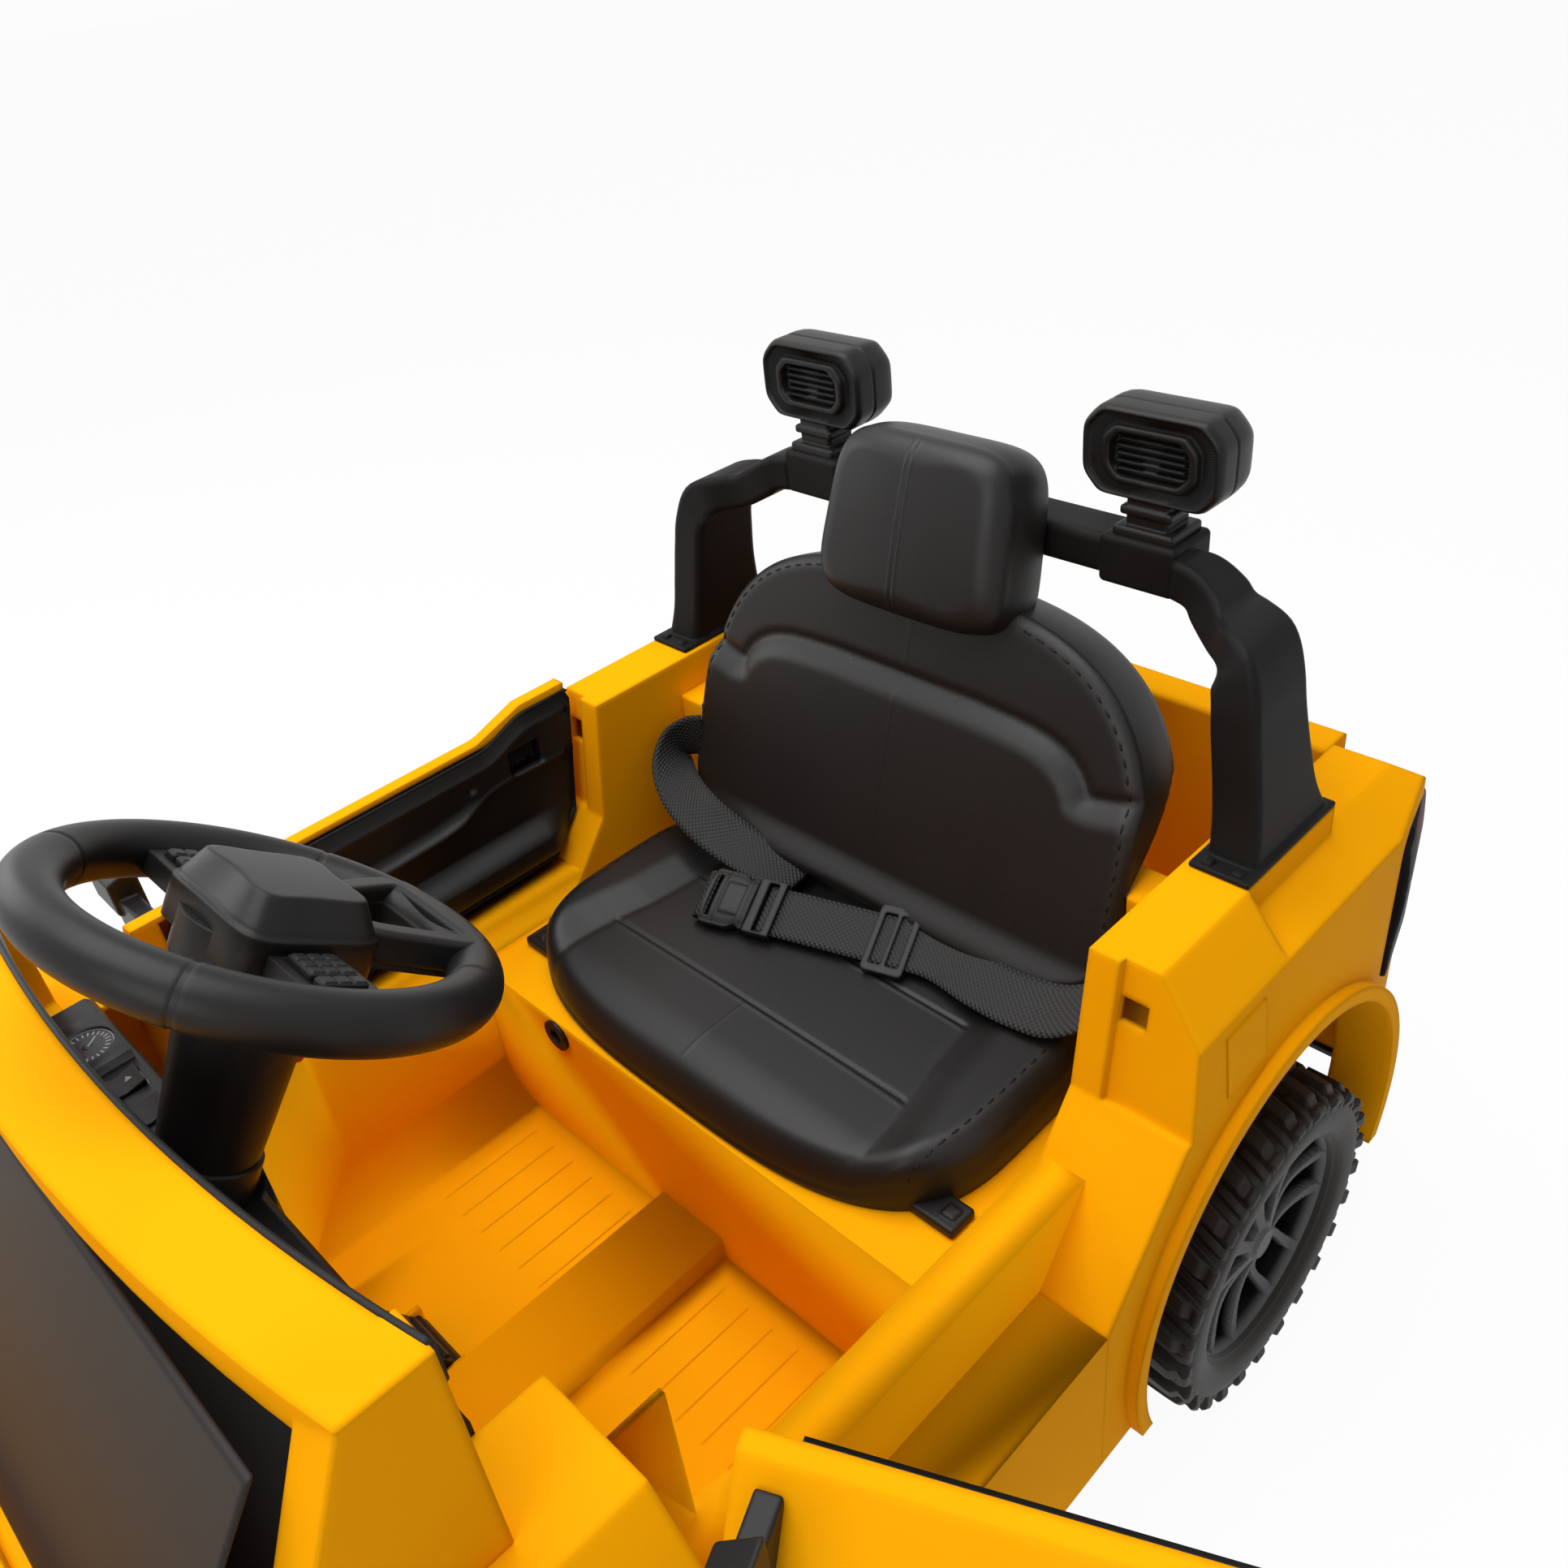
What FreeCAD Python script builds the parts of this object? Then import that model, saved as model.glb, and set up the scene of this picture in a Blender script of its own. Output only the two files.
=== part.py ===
import FreeCAD, Part
import math
import os

V = FreeCAD.Vector

# The frame: +X is the car's left side, the nose points to -Y, +Z is up, the ground is Z = 0.

# Wheels and axles
WHEELBASE = 650.0
TRACK = 560.0
TYRE_R = 125.0
TYRE_W = 80.0
RIM_R = 92.0
RIM_W = 66.0
RIM_RECESS = 8.0
TREAD_DEPTH = 7.0
TREAD_LUGS = 26
SPOKES = 10
AXLE_R = 5.0
RUNNING_FIT = 0.05
SIDE_PLAY = 0.4

# Body shell
BODY_LENGTH = 1130.0
WALL = 4.0
WELL_ROOM = 14.0
BELT_OUT = 44.0
BELT_Z = 428.0
SHOULDER_OUT = 74.0
SHOULDER_Z = 390.0
SIDE_OUT = 80.0
SIDE_Z = 330.0
ARCH_R = 161.0
ARCH_Z = 160.0
FLARE_W = 9.0
FLARE_LIP = 11.0
PAN_TOP = 100.0
PAN_T = 6.0
NOSE_PAN_IN = 45.0
FLOOR_Z = 135.0
TUNNEL_H = 20.0
TUNNEL_W = 64.0
PLATFORM_Z = 270.0
PLATFORM_Y = 66.0
TOE_Y = -150.0
DASH_Y = -186.0
DASH_Z = 440.0
DASH_LIP = 42.0
DASH_BACK = 60.0
SILL_OUT = 32.0
SILL_Z = 293.0
STEP_Z = 235.0
RAMP_Y = 130.0
STRIP_W = 17.0
STRIP_STEP = 5.0
PILLAR_AHEAD = 105.0
PILLAR_RAKE = 15.0
BULKHEAD_Y = 302.0
BULKHEAD_T = 34.0
BULKHEAD_Z = 398.0
BED_FLOOR_Z = 205.0
TAILGATE_IN = 60.0
TAILGATE_T = 30.0
RAIL_Y = 318.0
RAIL_Z = 410.0
RAIL_STEP = 4.0
TAPER_L = 125.0
TAIL_TAPER = 30.0
COVE_R = 38.0
CORNER_R = 72.0
FLOOR_GROOVES = 6
GROOVE_PITCH = 24.0
GROOVE_W = 2.4
GROOVE_D = 1.5
FLAP_Y = 268.0
FLAP_Z = 360.0
FLAP_SIZE = 44.0
FLAP_RISE = 1.5
LATCH_HOLE = 18.0

# Nose
DOOR_BEHIND_AXLE = 175.0
COWL_Y = -345.0
HOOD_DROP = 28.0
HOOD_IN = 26.0
GRILLE_IN = 60.0
GRILLE_BARS = 5
LAMP_DEPTH = 22.0
BUMPER_T = 20.0
BUMPER_TOP = 215.0
BUMPER_IN = 10.0
HEADER_Z = 555.0
HEADER_Y = -229.0
HEADER_ARC = 1136.0
HEADER_W = 38.0
HEADER_H = 26.0
HEADER_OUT = 24.0

# Doors
DOOR_GAP = 2.0
HINGE_IN = 8.0
HINGE_R = 6.0
HINGE_PIN_R = 3.0
DOOR_OPEN = 65.0
DOOR_SKIN_T = 6.0
LINER_T = 5.0
MIRROR_BACK = 28.0
MIRROR_Z = 420.0
MIRROR_D = 34.0

# Steering
WHEEL_Y = -132.5
WHEEL_Z = 562.0
WHEEL_TILT = 36.0
WHEEL_R = 101.5
GRIP_R = 14.0
SHAFT_R = 7.0
COLUMN_TILT = 33.5
COLUMN_TOP_R = 32.0
COLUMN_LOW_R = 21.0
COLUMN_FROM = 34.0
BOSS_R = 34.0
COLLAR_H = 26.0
COLLAR_STEP = 4.0
COLUMN_WALL = 3.0
PITMAN = 30.0
STEER_ARM = 60.0
KINGPIN_IN = 75.0
KINGPIN_R = 5.0
SLEEVE_R = 11.0
SLEEVE_H = 46.0
LUG_T = 6.0
TIE_R = 5.0
FORK_PLAY = 3.0
FORK_Z = 199.5
PEG_L = 24.0
BUTTON_TRAVEL = 1.5
BUTTON_U = 58.0
BUTTON_V = -4.0
PAD_W = 22.0
PAD_D = 24.0
KEY_W = 9.0
HUB_TOP = 22.0
HUB_LOW = -16.0
START_T = 66.0
START_R = 7.0
START_L = 16.0
START_SKIRT = 1.5

# Roll bar and roof lamps
POST_FRONT_Y = 330.0
POST_REAR_Y = 416.0
POST_IN = 8.0
POST_W = 32.0
POST_TOP_Z = 571.0
BAR_Y = 389.0
BAR_DEPTH = 44.0
BAR_Z = 557.0
BAR_H = 32.0
BLOCK_IN_X = 112.0
BLOCK_OUT_X = 165.0
ARM_DEPTH = 27.0
ARM_H = 27.0
BLOCK_LAP = 3.0
LAMP_X = 140.0
LAMP_Y = 397.0
LAMP_Z = 640.0
LAMP_W = 96.0
LAMP_H = 57.0
LAMP_D = 42.0
LAMP_CORNER = 12.0
LOUVRES = 5
STEM_W = 30.0

# Seat and belt
SEAT_IN = 24.0
SEAT_FRONT_Y = 68.5
SEAT_REAR_Y = 292.0
SEAT_H = 43.0
SEAT_DISH = 8.0
BOLSTER_IN = 46.0
BOLSTER_SLOPE = 16.0
CHANNELS = (78.0, 153.0)
CHANNEL_W = 3.0
CHANNEL_D = 2.0
SEAT_CORNER = 62.0
SEAT_SEAT = 0.3
BACK_LEAN = 18.0
BACK_Y = 267.0
BACK_Z = 318.0
BACK_IN = 22.0
BACK_H = 243.0
BACK_T = 52.0
HEADREST_X = 80.0
HEADREST_H = 114.0
HEADREST_T = 52.0
HEADREST_CORNER = 26.0
HEADREST_LIFT = 218.0
HEADREST_BACK = 7.9
BELT_W = 38.0
BELT_T = 2.0
BUCKLE_X = -65.0
BUCKLE_Y = 209.2
BUCKLE_LIFT = 9.8
BUCKLE_L = 60.0
BUCKLE_W = 46.0
BUCKLE_H = 12.0
BELT_YAW = 17.5
BELT_TILT = 25.0
BELT_RISE = 5.0
BELT_ROOM = 0.6
SLIDER_AT = 120.0
SLIDER_L = 32.0
SLIDER_W = 52.0

# Dashboard and pedal
GAUGE_IN = 50.0
GAUGE_Y = -202.0
ROCKER_SHARE = (0.72, 0.507)
POD_SHARE = 0.16
ROCKER_Y = -206.0
ROCKER_W = 18.0
ROCKER_D = 26.0
PEDAL_X = -64.0
PEDAL_Y = -116.0
PEDAL_W = 52.0
PEDAL_L = 44.0
PEDAL_ANGLE = 58.0

# What sits inside
BATTERY = (150.0, 95.0, 95.0)
CHARGE_X = -128.0
CHARGE_Z = 256.0
CHARGE_R = 9.0
GEARBOX_W = 58.0
MOTOR_R = 18.0
MOTOR_L = 70.0

AXLE_Z = TYRE_R
REAR_AXLE_Y = WHEELBASE / 2
FRONT_AXLE_Y = -WHEELBASE / 2
PILLAR_Y = REAR_AXLE_Y - PILLAR_AHEAD
PILLAR_FOOT_Y = PILLAR_Y - PILLAR_RAKE
TAIL_Y = BODY_LENGTH / 2
NOSE_Y = -BODY_LENGTH / 2
CABIN_X = TRACK / 2 - TYRE_W / 2 - WELL_ROOM
PAN_X = CABIN_X + WALL
BELT_X = CABIN_X + BELT_OUT
RAIL_X = BELT_X - RAIL_STEP
SHOULDER_X = CABIN_X + SHOULDER_OUT
SIDE_X = CABIN_X + SIDE_OUT
SILL_X = CABIN_X + SILL_OUT
STRIP_X = CABIN_X + WALL + STRIP_W
HOOD_X = CABIN_X - HOOD_IN
GRILLE_X = HOOD_X - GRILLE_IN
BUMPER_X = SIDE_X - BUMPER_IN
HEADER_X = CABIN_X + HEADER_OUT
HINGE_X = SIDE_X - HINGE_IN
KINGPIN_X = TRACK / 2 - KINGPIN_IN
NOSE_PAN_X = KINGPIN_X - NOSE_PAN_IN
POST_IN_X = CABIN_X + POST_IN
POST_OUT_X = POST_IN_X + POST_W
SEAT_X = CABIN_X - SEAT_IN
BACK_X = CABIN_X - BACK_IN
GAUGE_X = GAUGE_IN - HOOD_X
ROCKER_X = [GAUGE_X * share for share in ROCKER_SHARE]
TAILGATE_Y = TAIL_Y - TAILGATE_IN
DOOR_FRONT = FRONT_AXLE_Y + DOOR_BEHIND_AXLE
TUB_FRONT = DOOR_FRONT
HINGE_Y = DOOR_FRONT + HINGE_R + DOOR_GAP
MIRROR_Y = HINGE_Y + MIRROR_BACK
TIE_Z = AXLE_Z + SLEEVE_H / 2 + LUG_T + 12


def box(x0, x1, y0, y1, z0, z1):
    return Part.makeBox(x1 - x0, y1 - y0, z1 - z0, V(x0, y0, z0))


def prism(points, along, start, stop):
    # A closed outline carried along one axis; its points hold the other two axes in X, Y, Z order.
    place = {
        "x": lambda a, b: V(start, a, b),
        "y": lambda a, b: V(a, start, b),
        "z": lambda a, b: V(a, b, start),
    }[along]
    way = {"x": V(1, 0, 0), "y": V(0, 1, 0), "z": V(0, 0, 1)}[along]
    corners = [place(a, b) for a, b in points]
    face = Part.Face(Part.makePolygon(corners + corners[:1]))
    return face.extrude(way * (stop - start))


def rod(a, b, r):
    a, b = V(*a), V(*b)
    return Part.makeCylinder(r, (b - a).Length, a, b - a)


def ruled(wires):
    # A straight-sided loft, turned right side out.
    solid = Part.makeLoft(wires, True, True)
    if solid.Volume < 0:
        solid.reverse()
    return solid


def fuse(*solids):
    whole = solids[0].multiFuse(list(solids[1:])) if len(solids) > 1 else solids[0]
    return whole.removeSplitter()


def group(*solids):
    return Part.makeCompound(list(solids))


def mirrored(shape):
    return shape.mirror(V(0, 0, 0), V(1, 0, 0))


def both(shape):
    return group(shape, mirrored(shape))


def along(axis, edge):
    # True for a straight edge that runs along the given axis.
    if edge.Curve.TypeId != "Part::GeomLine":
        return False
    way = edge.tangentAt(edge.FirstParameter)
    return abs(abs(way.dot(axis)) - 1) < 1e-6


def soften(shape, radius, axis):
    edges = [e for e in shape.Edges if along(axis, e)]
    return shape.makeFillet(radius, edges) if edges else shape


def rounded_outline(x, y0, y1, corner, inset, z):
    # A rounded rectangle as a wire at one height, drawn in by the inset.
    hx, a, b, r = x - inset, y0 + inset, y1 - inset, corner - inset * 0.5
    k = r * (1 - math.sqrt(0.5))
    p = [V(-hx + r, a, z), V(hx - r, a, z), V(hx, a + r, z), V(hx, b - r, z)]
    p += [V(hx - r, b, z), V(-hx + r, b, z), V(-hx, b - r, z), V(-hx, a + r, z)]
    mids = [V(hx - k, a + k, z), V(hx - k, b - k, z), V(-hx + k, b - k, z), V(-hx + k, a + k, z)]
    edges = []
    for i in range(4):
        edges.append(Part.makeLine(p[2 * i], p[2 * i + 1]))
        edges.append(Part.Arc(p[2 * i + 1], mids[i], p[(2 * i + 2) % 8]).toShape())
    return Part.Wire(edges)


def side_section(inner_x, low, grow=0.0):
    # Cross-section of a body side: belt, chamfered shoulder and flank, drawn in by -grow.
    return [
        (inner_x, low),
        (inner_x, BELT_Z + grow),
        (BELT_X + grow, BELT_Z + grow),
        (SHOULDER_X + grow, SHOULDER_Z + grow),
        (SIDE_X + grow, SIDE_Z),
        (SIDE_X + grow, low),
    ]


def arch_cut(axle_y, x0, x1, radius):
    return Part.makeCylinder(radius, x1 - x0, V(x0, axle_y, ARCH_Z), V(1, 0, 0))


def flare(axle_y, depth):
    # The lip that stands proud round a wheel arch.
    ring = arch_cut(axle_y, SIDE_X - depth, SIDE_X + FLARE_W, ARCH_R + FLARE_LIP)
    ring = ring.cut(arch_cut(axle_y, 0, 2 * SIDE_X, ARCH_R))
    return ring.common(box(0, 2 * SIDE_X, axle_y - 2 * ARCH_R, axle_y + 2 * ARCH_R, PAN_TOP, 2 * BELT_Z))


def chassis_pan():
    rear = box(-PAN_X, PAN_X, TUB_FRONT, TAILGATE_Y + TAILGATE_T, PAN_TOP - PAN_T, PAN_TOP)
    nose = box(-NOSE_PAN_X, NOSE_PAN_X, NOSE_Y + 2 * BUMPER_T, TUB_FRONT, PAN_TOP - PAN_T, PAN_TOP)
    parts = [rear, nose]
    cheek = box(CABIN_X - PAN_T, CABIN_X, REAR_AXLE_Y - 30, REAR_AXLE_Y + 30, PAN_TOP, AXLE_Z + 25)
    parts += [cheek, mirrored(cheek)]
    low = AXLE_Z - SLEEVE_H / 2 - SIDE_PLAY
    high = AXLE_Z + SLEEVE_H / 2 + SIDE_PLAY
    ear = SLEEVE_R + 3
    for z in (low - LUG_T, high):
        lug = box(NOSE_PAN_X - PAN_T, KINGPIN_X, FRONT_AXLE_Y - ear, FRONT_AXLE_Y + ear, z, z + LUG_T)
        nose_round = Part.makeCylinder(ear, LUG_T, V(KINGPIN_X, FRONT_AXLE_Y, z))
        parts += [lug, nose_round, mirrored(lug), mirrored(nose_round)]
    web = box(
        NOSE_PAN_X - PAN_T, NOSE_PAN_X, FRONT_AXLE_Y - ear, FRONT_AXLE_Y + ear, PAN_TOP - PAN_T, high + LUG_T,
    )
    pin = Part.makeCylinder(KINGPIN_R, high - low, V(KINGPIN_X, FRONT_AXLE_Y, low))
    parts += [web, mirrored(web), pin, mirrored(pin)]
    pan = fuse(*parts)
    axle = rod((-PAN_X - 1, REAR_AXLE_Y, AXLE_Z), (PAN_X + 1, REAR_AXLE_Y, AXLE_Z), AXLE_R)
    return pan.cut(axle)


def body_tub():
    x, t = CABIN_X, WALL
    floor = box(-x, x, TOE_Y - t, PLATFORM_Y, FLOOR_Z - t, FLOOR_Z)
    tunnel = box(-TUNNEL_W / 2, TUNNEL_W / 2, TOE_Y, PLATFORM_Y, FLOOR_Z - t, FLOOR_Z + TUNNEL_H)
    front = box(-x, x, PLATFORM_Y, PLATFORM_Y + t, PAN_TOP, PLATFORM_Z)
    platform = box(-x, x, PLATFORM_Y, BULKHEAD_Y, PLATFORM_Z - t, PLATFORM_Z)
    dash_low = DASH_Z - DASH_LIP
    toe = [(TOE_Y, FLOOR_Z - t), (TOE_Y, FLOOR_Z), (DASH_Y, dash_low), (DASH_Y - t, dash_low),
           (TOE_Y - 2 * t, FLOOR_Z - t)]
    toe_board = prism(toe, "x", -x, x)
    left = [
        box(x, x + t, TUB_FRONT, RAMP_Y, PAN_TOP, SILL_Z),
        box(x, x + t, TUB_FRONT, PILLAR_FOOT_Y, PLATFORM_Z - t, SILL_Z),
        box(x, SILL_X, TUB_FRONT, PILLAR_FOOT_Y, SILL_Z - t, SILL_Z),
        box(SILL_X - t, SILL_X, TUB_FRONT, PILLAR_FOOT_Y, STEP_Z - t, SILL_Z),
        box(SILL_X - t, SIDE_X, TUB_FRONT, RAMP_Y, STEP_Z - t, STEP_Z),
        box(SIDE_X - t, SIDE_X, TUB_FRONT, RAMP_Y, PAN_TOP, STEP_Z),
        box(x, x + t, TUB_FRONT, TUB_FRONT + COVE_R, FLOOR_Z, dash_low),
    ]
    tub = fuse(floor, tunnel, front, platform, toe_board, *left, *[mirrored(s) for s in left], *coves())
    tub = tub.cut(both(quarter_block())).cut(both(fender_block())).cut(group(*floor_grooves()))
    socket = rod((CHARGE_X, PLATFORM_Y - 1, CHARGE_Z), (CHARGE_X, PLATFORM_Y + t + 1, CHARGE_Z), CHARGE_R)
    pin = Part.makeCylinder(HINGE_PIN_R, 2 * t, V(HINGE_X, HINGE_Y, STEP_Z - t))
    return fuse(tub.cut(socket).cut(both(pin)), pedal_parts()[1])


def coves():
    # Hollow quarter-rounds where the floor meets the side walls and where those turn to the toe board.
    x, z, r = CABIN_X, FLOOR_Z, COVE_R
    long = box(x - r, x, TOE_Y, PLATFORM_Y, z, z + r)
    long = long.cut(rod((x - r, TOE_Y - 1, z + r), (x - r, PLATFORM_Y + 1, z + r), r))
    r = CORNER_R
    turn = box(x - r, x, TOE_Y, TOE_Y + r, z, SILL_Z)
    turn = turn.cut(rod((x - r, TOE_Y + r, z - 1), (x - r, TOE_Y + r, SILL_Z + 1), r))
    return [long, turn, mirrored(long), mirrored(turn)]


def floor_grooves():
    # Long shallow grooves on both halves of the floor.
    cuts = []
    for i in range(FLOOR_GROOVES):
        x = TUNNEL_W / 2 + GROOVE_PITCH * (i + 0.75)
        y0, y1 = PEDAL_Y + 2 * COVE_R, PLATFORM_Y - COVE_R / 2
        groove = box(x, x + GROOVE_W, y0, y1, FLOOR_Z - GROOVE_D, FLOOR_Z + 1)
        cuts += [groove, mirrored(groove)]
    return cuts


def charge_socket():
    flange = rod((CHARGE_X, PLATFORM_Y - 3, CHARGE_Z), (CHARGE_X, PLATFORM_Y, CHARGE_Z), CHARGE_R + 4)
    barrel = rod((CHARGE_X, PLATFORM_Y - 3, CHARGE_Z), (CHARGE_X, PLATFORM_Y + 24, CHARGE_Z), CHARGE_R)
    mouth = rod((CHARGE_X, PLATFORM_Y - 4, CHARGE_Z), (CHARGE_X, PLATFORM_Y + 18, CHARGE_Z), CHARGE_R - 3)
    return fuse(flange, barrel).cut(mouth)


def bed_tray():
    x, t = CABIN_X, WALL
    back = BULKHEAD_Y + BULKHEAD_T
    return fuse(
        box(-x, x, BULKHEAD_Y, BULKHEAD_Y + t, PLATFORM_Z - t, BULKHEAD_Z),
        box(-x, x, BULKHEAD_Y, back, BULKHEAD_Z - t, BULKHEAD_Z),
        box(-x, x, back - t, back, BED_FLOOR_Z - t, BULKHEAD_Z),
        box(-x, x, back - t, TAILGATE_Y, BED_FLOOR_Z - t, BED_FLOOR_Z),
    )


def tailgate():
    x, t = CABIN_X, WALL
    outer = box(-x, x, TAILGATE_Y, TAILGATE_Y + TAILGATE_T, PAN_TOP, RAIL_Z)
    inner = box(-x + t, x - t, TAILGATE_Y + t, TAILGATE_Y + TAILGATE_T - t, PAN_TOP - 1, RAIL_Z - t)
    return soften(outer, WALL, V(1, 0, 0)).cut(inner)


def tail_profile(grow=0.0):
    # Outline of the rear quarter seen from the side, drawn in by -grow.
    end = TAIL_Y - BUMPER_T + grow
    return [
        (RAMP_Y - grow, PAN_TOP - 10),
        (RAMP_Y - grow, STEP_Z),
        (PILLAR_FOOT_Y - grow, SIDE_Z),
        (PILLAR_Y - grow, BELT_Z + grow),
        (TAILGATE_Y - TAILGATE_T / 2, BELT_Z + grow),
        (end - WALL, SHOULDER_Z),
        (end + WALL, SHOULDER_Z - BUMPER_T),
        (end + 2 * WALL, STEP_Z),
        (end + 2 * WALL, PAN_TOP - 10),
    ]


def rail_cut(grow):
    # What is taken off above the lower rail, behind the pillar's top plate.
    top, belt = RAIL_Z + grow, RAIL_X + grow
    outline = [
        (0, top), (belt, top), (SHOULDER_X + grow, SHOULDER_Z + grow), (2 * SIDE_X, SHOULDER_Z + grow),
        (2 * SIDE_X, 2 * BELT_Z), (0, 2 * BELT_Z),
    ]
    return prism(outline, "y", RAIL_Y + grow, 2 * TAIL_Y)


def taper_cut(grow):
    # What is taken off outside the plan taper of the tail.
    start = TAIL_Y - TAPER_L
    outline = [
        (SIDE_X + grow, start), (2 * SIDE_X, start),
        (2 * SIDE_X, TAIL_Y), (SIDE_X - TAIL_TAPER + grow, TAIL_Y),
    ]
    return prism(outline, "z", 0, 2 * BELT_Z)


def strip_cut(grow):
    # The step back of the pillar's front face, outside the strip along the cabin.
    foot, head = PILLAR_FOOT_Y + STRIP_STEP - grow, PILLAR_Y + STRIP_STEP - grow
    low, high = SIDE_Z + grow, 2 * BELT_Z
    outline = [(0, low), (foot, low), (head, BELT_Z + grow), (head, high), (0, high)]
    return prism(outline, "x", STRIP_X + grow, 2 * SIDE_X)


def rail_pad():
    # The raised pad under the roll bar's foot and the small flap moulded on the flank.
    pad = box(CABIN_X, POST_OUT_X + WALL, RAIL_Y - WALL, POST_REAR_Y + 2 * WALL, RAIL_Z - WALL, BELT_Z)
    half = FLAP_SIZE / 2
    flap = prism(side_section(SHOULDER_X - 2 * WALL, PAN_TOP, FLAP_RISE), "y", FLAP_Y - half, FLAP_Y + half)
    return [pad, flap.common(box(0, 2 * SIDE_X, FLAP_Y - half, FLAP_Y + half, FLAP_Z - half, FLAP_Z + half))]


def quarter_block(grow=0.0, inner_x=CABIN_X):
    block = prism(side_section(inner_x, PAN_TOP, grow), "y", 0, TAIL_Y + 50)
    block = block.common(prism(tail_profile(grow), "x", 0, 2 * SIDE_X))
    return block.cut(rail_cut(grow)).cut(taper_cut(grow)).cut(strip_cut(grow))


def tail_lamp():
    # The dark lamp that wraps the rear corner, cut out of the quarter panel.
    block = quarter_block()
    zone = box(SILL_X, 2 * SIDE_X, TAIL_Y - BUMPER_T - LAMP_DEPTH, TAIL_Y + 50, STEP_Z, SHOULDER_Z - BUMPER_T)
    return block.common(zone)


def quarter_panel():
    shell = quarter_block().cut(quarter_block(-WALL, CABIN_X + WALL))
    shell = fuse(shell, flare(REAR_AXLE_Y, WALL + TAIL_TAPER), *rail_pad())
    shell = shell.cut(arch_cut(REAR_AXLE_Y, PAN_X, 2 * SIDE_X, ARCH_R))
    shell = shell.cut(tail_lamp())
    side = LATCH_HOLE / 2
    x = (CABIN_X + BELT_X) / 2 + side
    z = SHOULDER_Z + side / 2
    latch = box(x - side, x + side, PILLAR_FOOT_Y - 5, PILLAR_Y + 3 * WALL, z - side, z + side)
    axle = rod((CABIN_X - 1, REAR_AXLE_Y, AXLE_Z), (PAN_X + 1, REAR_AXLE_Y, AXLE_Z), AXLE_R + 1)
    return shell.cut(latch).cut(axle)


def nose_profile(grow=0.0):
    front = NOSE_Y + BUMPER_T - grow
    return [
        (DOOR_FRONT + grow, PAN_TOP - 10),
        (DOOR_FRONT + grow, BELT_Z + grow),
        (COWL_Y, BELT_Z + grow),
        (front + 2 * BUMPER_T, BELT_Z - HOOD_DROP + grow),
        (front, SIDE_Z),
        (front, PAN_TOP - 10),
    ]


def fender_block(grow=0.0, inner_x=HOOD_X):
    block = prism(side_section(inner_x, PAN_TOP, grow), "y", NOSE_Y - 50, 0)
    return block.common(prism(nose_profile(grow), "x", 0, 2 * SIDE_X))


def headlamp():
    zone = box(GRILLE_X, 2 * SIDE_X, NOSE_Y - 50, NOSE_Y + BUMPER_T + LAMP_DEPTH, STEP_Z, SIDE_Z)
    return fender_block(0.0, GRILLE_X).common(zone)


def fender():
    shell = fender_block().cut(fender_block(-WALL, 0))
    shell = fuse(shell, flare(FRONT_AXLE_Y, WALL))
    shell = shell.cut(arch_cut(FRONT_AXLE_Y, 0, 2 * SIDE_X, ARCH_R))
    shell = shell.cut(headlamp())
    return shell.common(box(HOOD_X, 2 * SIDE_X, NOSE_Y - 50, DOOR_FRONT, PAN_TOP, 2 * BELT_Z))


def hood():
    t = WALL
    front = NOSE_Y + BUMPER_T
    top = [
        (COWL_Y, BELT_Z), (front + 2 * BUMPER_T, BELT_Z - HOOD_DROP), (front, SIDE_Z),
        (front + t, SIDE_Z), (front + 2 * BUMPER_T, BELT_Z - HOOD_DROP - t), (COWL_Y, BELT_Z - t),
    ]
    skin = prism(top, "x", -HOOD_X, HOOD_X)
    bulge = [
        (COWL_Y, BELT_Z - t), (COWL_Y, BELT_Z + 10), (front + 3 * BUMPER_T, BELT_Z - HOOD_DROP + 12),
        (front + 2 * BUMPER_T, BELT_Z - HOOD_DROP - t),
    ]
    return fuse(skin, prism(bulge, "x", -HOOD_X * 0.6, HOOD_X * 0.6))


def grille():
    front = NOSE_Y + BUMPER_T
    frame = box(-GRILLE_X, GRILLE_X, front, front + LAMP_DEPTH, BUMPER_TOP - BUMPER_T, SIDE_Z)
    pitch = (SIDE_Z - BUMPER_TOP - 2 * WALL) / GRILLE_BARS
    slots = []
    for i in range(GRILLE_BARS):
        z = BUMPER_TOP + WALL + i * pitch
        deep = front + LAMP_DEPTH - WALL
        slots.append(box(WALL - GRILLE_X, GRILLE_X - WALL, front - 1, deep, z + WALL, z + pitch))
    return frame.cut(group(*slots))


def front_bumper():
    front = NOSE_Y
    face = box(-BUMPER_X, BUMPER_X, front, front + BUMPER_T, PAN_TOP - PAN_T, BUMPER_TOP)
    face = soften(face, BUMPER_T * 0.4, V(0, 0, 1))
    shelf = box(-NOSE_PAN_X, NOSE_PAN_X, front + BUMPER_T / 2, front + 2 * BUMPER_T, PAN_TOP - PAN_T, PAN_TOP)
    return fuse(face, shelf, grille())


def rear_bumper():
    x = SIDE_X - TAIL_TAPER
    face = box(-x, x, TAIL_Y - BUMPER_T, TAIL_Y, PAN_TOP - PAN_T, BUMPER_TOP)
    face = soften(face, BUMPER_T * 0.4, V(0, 0, 1))
    shelf = box(-CABIN_X, CABIN_X, TAILGATE_Y + TAILGATE_T, TAIL_Y - BUMPER_T / 2, PAN_TOP - PAN_T, PAN_TOP)
    return fuse(face, shelf).cut(both(quarter_block()))


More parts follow.
